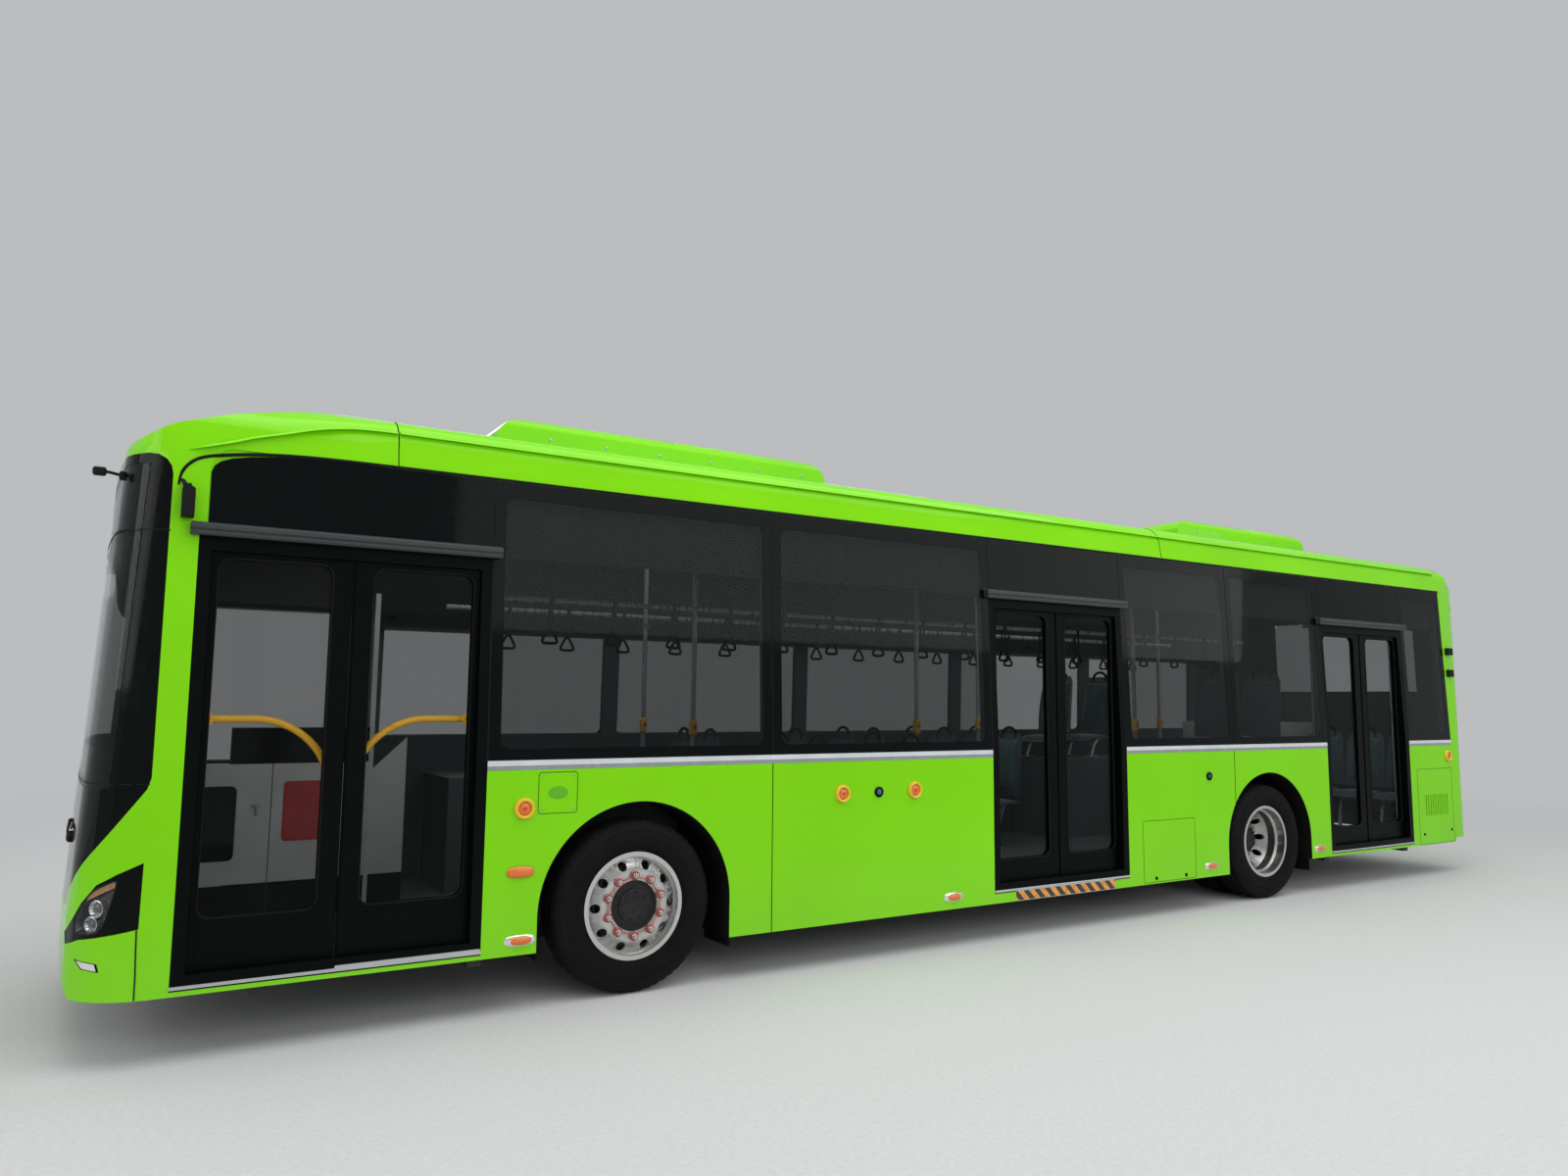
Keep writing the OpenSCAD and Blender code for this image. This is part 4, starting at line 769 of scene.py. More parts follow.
def addTrim():
    white, grey, gaps = [], [], []
    z0, z1, z2 = trim["stripeZ"]
    for side, x1, x0, drop in trim["stripeRuns"]:
        for group, low, high in ((white, z1, z2), (grey, z0, z1)):
            group.append(sidePlate(x0, x1, low - drop, high - drop, -0.001, 0.0012, side))
    g = trim["gapWidth"] / 2
    for side, top in trim["gapTop"].items():
        gaps += [sidePlate(x - g, x + g, low, top, -0.002, 0.0016, side) for x, low in trim["panelGaps"]]
    for x in trim["roofSeams"]:
        path = points(x, *crossLine(-0.0009).T)
        gaps.append(sweep(path, [(-0.0014, -g), (0.0006, -g), (0.0006, g), (-0.0014, g)], alongX))
    addPiece("stripeUpper", white, "stripeWhite")
    addPiece("stripeLower", grey, "stripeGrey")
    addPiece("panelGaps", gaps, "seamShadow")

    # fold along the cantrail, falling over the cap to the corner of the windscreen
    turn, (y, z, r) = math.radians(trim["foldTurn"]), trim["edge"]
    y, z = y + r * math.cos(turn), z + r * math.sin(turn)
    straight = points(np.linspace(bus["tailJoin"] + 0.02, 4.662, 30), y, z)
    fall = refined(((4.674, y, z), *trim["fall"]), 60, 6)
    taper = np.clip(np.linspace(7, 0.15, 60), 0.15, 1)
    folds = [sweep(straight, trim["foldProfile"]), sweep(fall, trim["foldProfile"], scale=taper)]
    addPiece("cantrailFolds", bothSides(folds), "greenPaint", angle=50)

    # black rain moulding over the glass, turning down round its front corner to the camera arm
    top = trim["rainCorner"][-1][1]
    x, z = np.vstack([refined(trim["rainCorner"], 48, 4),
                      points(np.linspace(4.6, bus["tailJoin"], 24), top)]).T
    path = points(x, sideY(z) - 1.3 * np.maximum(x - 5.585, 0) ** 2, z)
    addPiece("rainMouldings", bothSides([sweep(path, trim["rainBead"], alongY)]), "gasketRubber", angle=40)


addTrim()

# gutters over the doorways with their ribs, the sill strips and the striped step edge

gutter = {"half": 0.730, "topZ": 2.440, "stripTop": 2.4475,
          "ribs": ((2.386, 2.405, 0.010), (2.409, 2.434, 0.013))}
sill = {"half": 0.696, "z": (0.3255, 0.3405), "step": (4.165, 4.862, 0.3405, 0.3535)}
stepEdge = {"x": (-0.633, 0.388), "z": (0.258, 0.322), "rims": ((0.2545, 0.258), (0.322, 0.3265))}


def addGutters():
    ribs, sills, y = [], [], bus["halfWidth"]
    z0, z1 = sill["z"]
    sillProfile = [(y - 0.002, z0), (y + 0.0035, z0), (y + 0.005, z0 + 0.003), (y + 0.005, z1 - 0.003),
                   (y + 0.0035, z1), (y - 0.002, z1)]
    for x in bus["doorX"]:
        h = gutter["half"]
        for low, high, out in gutter["ribs"]:
            a, b = y + out - 0.004, y + out
            profile = [(1.215, low), (a, low), (b, low + 0.004), (b, (low + high) / 2), (b, high - 0.004),
                       (a, high), (1.215, high)]
            ribs.append(prism(profile, "x", x - h - 0.004, x + h + 0.004))
        ribs.append(sidePlate(x - h, x + h, gutter["topZ"] - 0.0005, gutter["stripTop"], -0.002, 0.0009, 1,
                              0.0005, 2))
        sills.append(prism(sillProfile, "x", x - sill["half"], x + sill["half"]))
    sills.append(plate(*sill["step"], 1.2485, 1.2548, 0.003, 2))
    x0, x1 = stepEdge["x"]
    rims = [sidePlate(x0 - 0.004, x1 + 0.004, low, high, -0.002, 0.0035) for low, high in stepEdge["rims"]]
    addPiece("gutterRibs", ribs, "gutterGrey")
    addPiece("doorSills", sills, "silverTrim")
    addPiece("stepEdge", [sidePlate(x0, x1, *stepEdge["z"], -0.002, 0.0025, 1, 0.004, 3)], "hazardBars")
    addPiece("stepEdgeBorders", rims, "silverTrim")


addGutters()

# hatches and flaps: a round-cornered groove, drawn as a darker green band of painted shade a little proud of
# the skin, with screws or locks

hatches = {  # side, box in x and z, corner radius, locks
    "service": (1, (3.658, 3.881, 1.019, 1.242), 0.018, ()),
    "charge": (1, (-1.587, -0.960, 0.263, 0.735), 0.012, ((-1.104, 0.293), (-1.462, 0.293))),
    "rearBay": (1, (-5.640, -4.990, 0.300, 1.030), 0.015, ((-5.075, 0.400), (-5.590, 0.420))),
    "battery": (-1, (0.30, 1.50, 0.275, 1.02), 0.015, ((0.45, 0.96), (1.35, 0.96))),
    "air": (-1, (-1.55, -0.35, 0.275, 1.02), 0.015, ((-1.40, 0.96), (-0.50, 0.96))),
    "rearBayRight": (-1, (-5.640, -4.30, 0.310, 1.12), 0.015, ((-5.45, 1.06), (-4.50, 1.06))),
    "cabLocker": (-1, (4.30, 5.10, 0.330, 0.86), 0.015, ((4.45, 0.81), (4.95, 0.81))),
}
screwProfile = ((0.0005, 0.0022), (0.005, 0.0018), (0.0062, -0.001), (0.0005, -0.001))
lockProfile = ((0.0005, 0.0015), (0.006, 0.0015), (0.008, 0.004), (0.013, 0.0035), (0.015, -0.001),
               (0.0005, -0.001))


def addHatches():
    grooves, locks = [], []
    for side, box, r, at in hatches.values():
        inner = roundRect(*inset(box, 0.004), r - 0.004, 5)
        # the groove is a band of painted shade, darker green, not a cut into the skin
        grooves.append(onSide(band(roundRect(*box, r, 5), inner, -0.001, 0.0009), side))
        locks += [onSide(lathe(lockProfile, (x, 0, z), 24), side) for x, z in at]
    x0, x1, z0, z1 = hatches["service"][1]
    a, b, c, d = inset((x0, x1, z0, z1), 0.022)
    screws = [onSide(lathe(screwProfile, (x, 0, z), 16)) for x in (a, b) for z in (c, d)]
    plateOval = arc((x0 + x1) / 2, (z0 + z1) / 2, 0.056, 0, 351, 40, 0.034)
    addPiece("hatchOval", [onSide(prism(plateOval, "y", -0.001, 0.0012))], "ovalGreen")
    addPiece("hatchGrooves", grooves, "grooveGreen")
    addPiece("hatchScrews", screws, "steelPlate")
    addPiece("hatchLocks", locks, "blackSatin")


addHatches()

# side lamps: ring lamps, oval markers, push buttons

sideLamps = {
    "rings": ((3.955, 1.053), (1.885, 1.053), (1.300, 1.056), (-5.590, 1.150)), "ringR": 0.052,
    "ringProfile": ((0.006, -0.001), (0.006, 0.008), (0.001, 0.018), (-0.006, 0.0205), (-0.013, 0.018),
                    (-0.016, 0.012), (-0.016, -0.001)),  # radius past the ring's own, height
    "markers": ((3.965, 0.723, 0), (3.955, 0.371, 1), (0.965, 0.333, 1), (-1.785, 0.338, 1),
                (-3.310, 0.378, 1)),
    "buttons": ((1.597, 1.054, 0.0195), (-1.786, 1.056, 0.014)),
    "buttonProfile": ((0.034, -0.001), (0.034, 0.008), (0.029, 0.013), (0.022, 0.012), (0.020, 0.007),
                      (0.0005, 0.007), (0.0005, -0.001)),
}


def dome(cx, cz, a, b, depth, height, rings=7, n=32):
    # stacked ovals, full as |cos|^0.75 and |sin|^0.75, that shrink as a quarter circle to a middle point
    t = np.linspace(0, 2 * np.pi, n, endpoint=False)
    c, s = (np.sign(w) * np.abs(w) ** 0.75 for w in (np.cos(t), np.sin(t)))
    layers = [points(cx + a * math.cos(q) * c, depth + height * math.sin(q), cz + b * math.cos(q) * s)
              for q in np.linspace(0, np.pi / 2, rings)[:-1]]
    j, last = np.arange(n), (rings - 2) * n
    tip = points(last + j, last + (j + 1) % n, (rings - 1) * n)
    verts = np.vstack(layers + [[[cx, depth + height, cz]]])
    return verts, [gridFaces(rings - 1, n, False, True), tip, j[None, ::-1]]


def addSideLamps():
    bezels, centres, glows, cases, ambers = [], [], [], [], []
    r = sideLamps["ringR"]
    for side in (1, -1):
        for x, z in sideLamps["rings"]:
            bezels.append(onSide(lathe([(r + q, d) for q, d in sideLamps["ringProfile"]], (x, 0, z), 48),
                                 side))
            centres.append(onSide(dome(x, z, r - 0.0165, r - 0.0165, 0.004, 0.013), side))
            glows.append(onSide(dome(x, z, 0.011, 0.011, 0.0155, 0.006, 5, 20), side))
        for x, z, cased in sideLamps["markers"]:
            case, amber = (((x, z, 0.085, 0.030, -0.001, 0.012),
                            (x - 0.004, z, 0.058, 0.023, 0.004, 0.018)) if cased
                           else ((x, z, 0.070, 0.0295, -0.001, 0.004), (x, z, 0.076, 0.031, 0.001, 0.020)))
            cases.append(onSide(dome(*case), side))
            ambers.append(onSide(dome(*amber), side))
    rims = [onSide(lathe(sideLamps["buttonProfile"], (x, 0, z), 40)) for x, z, _ in sideLamps["buttons"]]
    faces = [onSide(dome(x, z, a, a, 0.006, 0.009)) for x, z, a in sideLamps["buttons"]]
    addPiece("ringLampBezels", bezels, "yellowRing", replaces=("lamps",))
    addPiece("ringLampLenses", centres, "amberLens")
    addPiece("ringLampBulbs", glows, "redLens")
    addPiece("markerCases", cases, "chromeCase")
    addPiece("markerLenses", ambers, "amberLens")
    addPiece("buttonRims", rims, "blackGloss")
    addPiece("buttonFaces", faces, "blueRing")


addSideLamps()
print("outside trim and lamps made")

# door leaves: raised frames with round glass corners, seals, and the yellow rails

leaf = {
    "end": 0.651, "width": 0.643, "frameZ": (0.388, 2.314), "glassLow": (0.610, 0.530, 0.530),
    "glassTop": 2.290, "outer": 0.042, "inner": 0.084, "cornerR": 0.06, "y": (1.158, 1.190),
    "sealZ": (0.376, 2.325),
    "railY": 1.098, "railZ": (1.165, 1.525), "railR": 0.0176,
}


def leafSpan(i, side, u0, u1):
    # from distances along the leaf, measured from its outer end, to two x values in order
    return sorted(bus["doorX"][i] + side * (leaf["end"] - u) for u in (u0, u1))


def addLeaf(i, side):
    name = f"door{i + 1}_{'front' if side > 0 else 'rear'}_leaf"
    w, (lo, hi), glassZ = leaf["width"], leaf["y"], leaf["glassLow"][i]
    outer = roundRect(*leafSpan(i, side, 0.020, w - 0.003), *leaf["frameZ"], 0.012, 6)
    glass = leafSpan(i, side, leaf["outer"] + 0.004, w - leaf["inner"] - 0.004)
    inner = roundRect(*glass, glassZ + 0.005, leaf["glassTop"] - 0.005, leaf["cornerR"], 6)
    kick = plate(*leafSpan(i, side, 0.05, w - 0.05), 0.405, glassZ - 0.03, hi + 0.002, hi + 0.0042, 0.01, 4)
    frames = [band(outer, inner, hi - 0.002, hi + 0.0028), band(outer, inner, lo - 0.0028, lo + 0.002), kick]
    addPiece(f"{name}_frame", frames, "blackSatin", name)
    seals = [tube(laid(inner, y), 0.0042, 8, alongY, True) for y in (hi + 0.0028, lo - 0.0028)]
    (s0, s1), (low, high) = leafSpan(i, side, w - 0.010, w + 0.0068), leaf["sealZ"]
    seals.append(block((s0, 1.1655, low), (s1, 1.1825, high), 0.006))
    addPiece(f"{name}_seals", seals, "gasketRubber", name)
    if i > 0:
        return
    y, (low, high), r = leaf["railY"], leaf["railZ"], leaf["railR"]
    bend, uStart, uEnd = high - low, leaf["outer"] / 2, w - leaf["inner"] / 2
    a = np.linspace(0, np.pi / 2, 28)
    along = np.concatenate([np.linspace(uStart, uEnd - bend, 6)[:-1], uEnd - bend + bend * np.sin(a)])
    up = np.concatenate([np.full(5, high), low + bend * np.cos(a)])
    foot = [(0.0005, lo - 0.001), (0.034, lo - 0.001), (0.034, lo - 0.007), (0.026, lo - 0.010),
            (0.0178, lo - 0.014), (0.0178, y), (0.0174, y - 0.016), (0.010, y - 0.0185), (0.0005, y - 0.019)]
    place = bus["doorX"][i] + side * leaf["end"]
    rails = [tube(points(place - side * along, y, up), r, 20, alongY)]
    rails += [lathe(foot, (place - side * u, 0, z), 24) for u, z in ((uStart + 0.016, high), (uEnd, low))]
    addPiece(f"{name}_rail", rails, "yellowTube", name)


for i in range(3):
    for side in (1, -1):
        addLeaf(i, side)
print("door leaves made")

# tyres: one closed profile turned round the axle, with grooves and shoulder blocks cut by angle

tyre = {
    "beadR": 0.2865, "r": 0.4787, "half": 0.1375, "grooves": (-0.078, -0.026, 0.026, 0.078),
    "grooveDepth": 0.013, "segments": 232, "shoulder": 0.09, "blockCut": 0.007, "sipeCut": 0.0025,
}


def tyreSurface(centre, outward):
    # radius by place across the tread, less the grooves, less the shoulder cuts that repeat by angle
    w, r, b = tyre["half"], tyre["r"], tyre["beadR"]
    wall = [(b, -0.094), (b + 0.012, -0.100), (b + 0.016, -0.112), (b + 0.030, -0.122), (b + 0.034, -0.1255),
            (b + 0.040, -0.1262), (b + 0.062, -0.1335), (b + 0.085, -w), (b + 0.094, -w - 0.0012),
            (b + 0.100, -w), (r - 0.062, -w + 0.005), (r - 0.058, -w + 0.0028), (r - 0.040, -w + 0.006),
            (r - 0.036, -w + 0.0095), (r - 0.020, -w + 0.019), (r - 0.010, -w + 0.030)]
    tread = [(r - 0.0045, -0.098)]
    for g in tyre["grooves"]:
        top = r - 0.004 * (g / 0.1) ** 2
        low = top - tyre["grooveDepth"]
        tread += [(top, g - 0.0085), (low, g - 0.0055), (low, g + 0.0055), (top, g + 0.0085)]
    tread.append((r - 0.0045, 0.098))
    radii, across = np.array(wall + tread + [(p, -q) for p, q in wall[::-1]]).T
    n, side = tyre["segments"], np.abs(across)
    a, k = np.linspace(0, 2 * np.pi, n, endpoint=False)[:, None], np.arange(n)[:, None] % 4
    radius = (radii - tyre["blockCut"] * ((k == 0) & (side > tyre["shoulder"]) & (radii > r - 0.03))
              - tyre["sipeCut"] * ((k == 2) & (side < tyre["shoulder"]) & (radii > r - 0.006)))
    verts = points(radius * np.cos(a), across * outward, radius * np.sin(a)).reshape(-1, 3)
    return verts + np.asarray(centre), [gridFaces(n, len(radii), True, True)]


def addTyres():
    for name, side in sides.items():
        for axle, word, body, x, lines in (("front", "tyre", "wheel", bus["frontAxleX"], (bus["tyreY"],)),
                                           ("rear", "tyres", "wheels", bus["rearAxleX"], bus["twinY"])):
            pieceName = f"{axle}{word.capitalize()}_{name}"
            tyreLook(pieceName, (x, side * bus["tyreY"], bus["axleZ"]))
            shapes = [tyreSurface((x, side * y, bus["axleZ"]), side) for y in lines]
            addPiece(pieceName, shapes, pieceName, f"{axle}_{name}_{body}", angle=32,
                     replaces=(f"{axle}_{name}_{word}",))


addTyres()

# wheel nuts, red linked retainers and hubs, drawn about the axle with y outward

wheel = {
    "studs": 10, "studR": 0.1675, "nutR": 0.0196, "nutTop": 0.030, "retainerR": 0.0228,
    "retainerDepth": 0.0125,
    "front": {  # y of the disc's middle, depth of its face, hub profile past the face, cap screws
        "y": bus["tyreY"], "face": 0.108, "screws": 8, "screwAt": 0.076, "firstTurn": 0.2,
        "hub": ((0.1397, -0.020), (0.1397, -0.0132), (0.118, -0.0128), (0.110, -0.010), (0.0935, -0.0095),
                (0.0932, -0.001), (0.088, 0.0012), (0.062, 0.0008), (0.058, -0.001), (0.030, -0.001),
                (0.0005, -0.0005), (0.0005, -0.020)),
        "screw": ((0.0005, 0.010), (0.006, 0.010), (0.0085, 0.0075), (0.0085, 0), (0.0005, 0)),
    },
    "rear": {
        "y": 0.9265, "face": 0.014, "screws": 10, "screwAt": 0.078, "firstTurn": 0.0,
        "hub": ((0.139, -0.001), (0.139, 0.012), (0.132, 0.020), (0.112, 0.030), (0.1015, 0.070),
                (0.096, 0.0875), (0.060, 0.0925), (0.055, 0.090), (0.0005, 0.090), (0.0005, -0.001)),
        "screw": ((0.0005, 0.101), (0.007, 0.101), (0.0095, 0.098), (0.0095, 0.086), (0.0005, 0.086)),
    },
}


def nutShape(turn, r, face):
    # flange, six-sided body with a bevelled top, and the stud's tip
    n, h = 24, wheel["nutTop"]
    a = np.linspace(0, 2 * np.pi, n, endpoint=False)
    hexR = wheel["nutR"] * math.cos(math.pi / 6) / np.cos((a + math.pi / 6) % (math.pi / 3) - math.pi / 6)
    rings = ((0.0235, -0.0005), (0.0245, 0.002), (0.0235, 0.005), (hexR, 0.006), (hexR, h - 0.004),
             (np.minimum(hexR, 0.0148), h), (0.0120, h), (0.0118, h + 0.006), (0.0095, h + 0.0075))
    cx, cz = r * math.cos(turn), r * math.sin(turn)
    verts = np.vstack([points(cx + q * np.cos(a), face + d, cz + q * np.sin(a)) for q, d in rings])
    return verts, cappedFaces(len(rings), n)


def retainerShapes(turn, face):
    # a ring round one nut, and a waved link to the next
    r, gap, ringR = wheel["studR"], 2 * math.pi / wheel["studs"], wheel["retainerR"]
    depth = face + wheel["retainerDepth"]
    loop = arc(r * math.cos(turn), r * math.sin(turn), ringR, 0, 342, 20)
    t = np.linspace(turn + 0.36 * gap * 0.38, turn + gap * (1 - 0.36 * 0.38), 9)
    wave = r - 0.010 + 0.004 * np.cos(np.linspace(0, 2 * np.pi, 9))
    link = points(wave * np.cos(t), depth, wave * np.sin(t))
    return [tube(laid(loop, depth), 0.0028, 8, alongY, True), tube(link, 0.0022, 8, alongY)]


def addWheels():
    for name, side in sides.items():
        for axle, body, x in (("front", "wheel", bus["frontAxleX"]), ("rear", "wheels", bus["rearAxleX"])):
            w = wheel[axle]
            face, body = w["face"], f"{axle}_{name}_{body}"
            centre = np.array((x, side * w["y"], bus["axleZ"]))
            nuts, rings = [], []
            for k in range(wheel["studs"]):
                turn = (k + 0.5) * 2 * math.pi / wheel["studs"]
                nuts.append(nutShape(turn, wheel["studR"], face))
                rings += retainerShapes(turn, face)
            hub = [lathe([(r, face + d) for r, d in w["hub"]], (0, 0, 0), 56)]
            for k in range(w["screws"]):
                q = k * 2 * math.pi / w["screws"] + w["firstTurn"]
                at = (w["screwAt"] * math.cos(q), 0, w["screwAt"] * math.sin(q))
                hub.append(lathe([(r, face + d) for r, d in w["screw"]], at, 6))
            placed = [[(v * (1, side, 1) + centre, f) for v, f in group] for group in (nuts, rings, hub)]
            addPiece(f"{axle}Nuts_{name}", placed[0], "nutChrome", body, angle=30)
            if axle == "front":
                addPiece(f"{axle}Retainers_{name}", placed[1], "redPlastic", body, angle=40)
            addPiece(f"{axle}Hub_{name}", placed[2], "hubIron", body)


addWheels()
print("wheels made")

# nose: plan outline from the middle to the side, leaning back above the bumper

nose = {
    "x": 6.0, "cornerR": 0.34, "cornerY": 0.91, "bulge": 0.036, "leanZ": 0.62, "lean": 0.04541,
    "lowZ": (0.0, 0.297, 0.43, 0.62), "lowX": (-0.11, -0.07, -0.006, 0.001),
}


def nosePlan():
    # run length, points and outward direction of the plan: three chords of the bulge, then the corner arc
    r = (nose["cornerY"] ** 2 + nose["bulge"] ** 2) / (2 * nose["bulge"])
    y = np.array([0, 0.35, 0.7]) * nose["cornerY"]
    corner = arc(-nose["bulge"] - nose["cornerR"], nose["cornerY"], nose["cornerR"], 0, 90, 8)
    plan = np.vstack([points(-r + np.sqrt(r * r - y * y), y), corner, [[-3.0, bus["halfWidth"]]]])
    facing = np.vstack([points(np.sqrt(1 - (y / r) ** 2), y / r), arc(0, 0, 1, 0, 90, 8), [[0, 1]]])
    run = np.concatenate([[0], np.cumsum(np.linalg.norm(np.diff(plan, axis=0), axis=1))])
    return run, plan, facing


noseRun, nosePoints, noseFacing = nosePlan()


def onNose(shape, side=1):
    # lays a shape drawn in run, depth and z on the nose: run is the way round the plan from the middle
    s, d, z = shape[0].T
    way, s = np.where(s < 0, -1.0, 1.0), np.abs(s)
    px, py, nx, ny = (np.interp(s, noseRun, line) for line in (*nosePoints.T, *noseFacing.T))
    px = np.minimum(px, np.interp(z, nose["lowZ"], nose["lowX"]))
    py = np.minimum(py, sideY(z))
    x = nose["x"] + px - nose["lean"] * np.maximum(z - nose["leanZ"], 0) + nx * d
    return points(x, side * way * (py + ny * d), z), shape[1]


def runAt(x, z):
    # run length on the corner where the nose has this x at height z
    px = x - nose["x"] + nose["lean"] * np.maximum(z - nose["leanZ"], 0)
    return np.interp(-px, -nosePoints[:, 0], noseRun)


def frontLine(s0, s1, z0, z1, depth, thick, n=40, side=1):
    # a strip on the nose between two runs and two heights, each height a number or n of them
    s = np.linspace(s0, s1, n)
    rows = [points(s, d, z) for z, d in ((z0, depth), (z1, depth), (z1, depth - thick), (z0, depth - thick))]
    return onNose((np.stack(rows, 1).reshape(-1, 3), cappedFaces(n, 4)), side)


headlamp = {
    "wedge": ((5.684, 0.606), (5.681, 0.889), (5.776, 0.841), (5.851, 0.793), (5.901, 0.714), (5.956, 0.575),
              (5.953, 0.528), (5.906, 0.559)),
    "lens": ((1.236, 0.596), (1.286, 0.828), (1.223, 0.802), (1.158, 0.771), (1.090, 0.690), (1.069, 0.612),
             (1.076, 0.585), (1.125, 0.574)),
    "amber": ((1.128, 0.724), (1.276, 0.790), (1.281, 0.816), (1.222, 0.796), (1.160, 0.765), (1.140, 0.742)),
    "slit": ((1.100, 0.471), (1.149, 0.435), (1.229, 0.427), (1.218, 0.459)),
    "beams": ((1.180, 0.690, 0.036), (1.160, 0.622, 0.033)), "beamDepth": -0.034, "beamTurn": 44,
}


def addHeadlamps():
    surrounds, bowls, covers, ambers, rings, bulbs, slits, slitFrames = ([] for _ in range(8))
    wedge = finer([(runAt(x, z), z) for x, z in headlamp["wedge"]], 6)
    lens, amber, slit = finer(headlamp["lens"], 6, 2), finer(headlamp["amber"], 4), finer(headlamp["slit"], 5)
    inside, deep = shrunk(lens, 0.93), shrunk(lens, 0.80)
    for side in (1, -1):
        surrounds += [onNose(between(wedge, wedge, -0.02, -0.0008, 2), side),
                      onNose(between(wedge, lens, -0.0008, -0.0008, 7), side),
                      onNose(between(lens, inside, -0.0008, -0.004, 2), side)]
        bowls += [onNose(between(inside, deep, -0.004, -0.042, 4), side),
                  onNose(pane(deep, -0.042, 0.002, 5), side)]
        covers.append(onNose(pane(shrunk(lens, 0.985), 0.0005, 0.002, 6), side))
        ambers.append(onNose(pane(amber, -0.010, 0.010, 4), side))
        for s, z, r in headlamp["beams"]:
            at = onNose((points([s], headlamp["beamDepth"], z), []), side)[0][0]
            ring = [(r, 0.014), (r + 0.002, 0.017), (r - 0.002, 0.018), (r - 0.009, 0.004), (r - 0.012, 0.0),
                    (0.0005, 0.0), (0.0005, -0.006), (r - 0.004, -0.006)]
            bulb = [(0.0005, 0.013), (r * 0.25, 0.012), (r * 0.45, 0.009), (r * 0.58, 0.004), (r * 0.62, 0.0),
                    (0.0005, 0.0)]
            for profile, n, group in ((ring, 36, rings), (bulb, 32, bulbs)):
                shape = turned(lathe(profile, (0, 0, 0), n, "x"), 0, (0, 0, 1),
                               side * math.radians(headlamp["beamTurn"]))
                group.append(moved(shape, at))
        slits.append(onNose(pane(shrunk(slit, 0.9), 0.001, 0.004, 4), side))
        slitFrames.append(onNose(between(shrunk(slit, 1.12), shrunk(slit, 0.9), 0.0012, 0.0006, 3), side))
    addPiece("headlampSurrounds", surrounds, "blackGloss")
    addPiece("headlampBowls", bowls, "lampBowl")
    addPiece("headlampCovers", covers, "lampCover")
    addPiece("headlampIndicators", ambers, "amberStrip")
    addPiece("headlampRings", rings, "chromeCase")
    addPiece("headlampBulbs", bulbs, "beamGlass")
    addPiece("bumperLamps", slits, "chromeCase")
    addPiece("bumperLampFrames", slitFrames, "blackSatin")


addHeadlamps()

# windscreen border, display bezel, seams of the front and the camera over the corner

screen = {
    "z": (1.215, 2.715), "clearLow": 1.395, "transomZ": 2.395, "edge": 1.18, "camera": (5.872, 0.948, 2.672),
    "bezel": ((0.20, 2.395), (0.45, 2.375), (0.70, 2.315), (0.90, 2.235), (1.056, 2.150), (1.12, 2.118),
              (1.168, 2.095)),
    "cornerSeam": ((5.689, 0.6, 0.602), (5.686, 0.5, 0.5), (5.682, 0.4, 0.4), (5.681, 0.34, 0.300)),
}


def addScreenParts():
    edge, clear, mid, (z0, z1) = screen["edge"], screen["clearLow"], screen["transomZ"], screen["z"]
    strips = ((-edge, edge, z0 + 0.003, clear, 40), (-edge, edge, mid, z1 - 0.003, 40),
              (edge - 0.035, edge, clear, mid, 4), (-edge, -edge + 0.035, clear, mid, 4))
    addPiece("windscreenBorder", [frontLine(*box, -0.0065, 0.002, n) for *box, n in strips], "blackFrit")

    along, height = np.array(screen["bezel"]).T
    s = np.linspace(along[0], along[-1], 40)
    low = np.interp(s, along, height)
    x, at, z = np.array(screen["cornerSeam"]).T
    corner = points(runAt(x, at), 0.0002, z)
    bezels, seams = [], [frontLine(-1.362, 1.362, 1.2335, 1.2385, 0.0006, 0.002, 70),
                         frontLine(-edge, edge, mid - 0.006, mid + 0.006, 0.0012, 0.003)]
    for side in (1, -1):
        bezels.append(frontLine(along[0], along[-1], low, mid + 0.01, -0.030, 0.012, 40, side))
        bezels.append(tube(onNose((points(s, -0.034, low), []), side)[0], 0.009, 8))
        seams.append(frontLine(edge, 1.318, mid - 0.0025, mid + 0.0025, 0.0008, 0.002, 10, side))
        seams.append(frontLine(edge - 0.001, edge + 0.0035, 1.236, z1, 0.0008, 0.003, 3, side))
        seams.append(tube(onNose((corner, []), side)[0], 0.0032, 6, alongY))
    addPiece("displayBezels", bezels, "blackSatin")
    addPiece("frontSeams", seams, "seamShadow")

    root, t = np.array(screen["camera"]), np.linspace(0, 1, 8)
    arm = root + points(0.085 * t, 0.01 * t, 0.012 * np.sin(1.4 * t))
    camera = [sweep(arm, roundRect(-0.011, 0.011, -0.006, 0.006, 0.004, 3)),
              block(root + [-0.012, -0.022, -0.02], root + [0.014, 0.022, 0.02], 0.006),
              block(root + [0.066, -0.024, -0.008], root + [0.122, 0.026, 0.030], 0.008)]
    addPiece("headCamera", camera, "blackMatt")


addScreenParts()

# wipers and camera pods

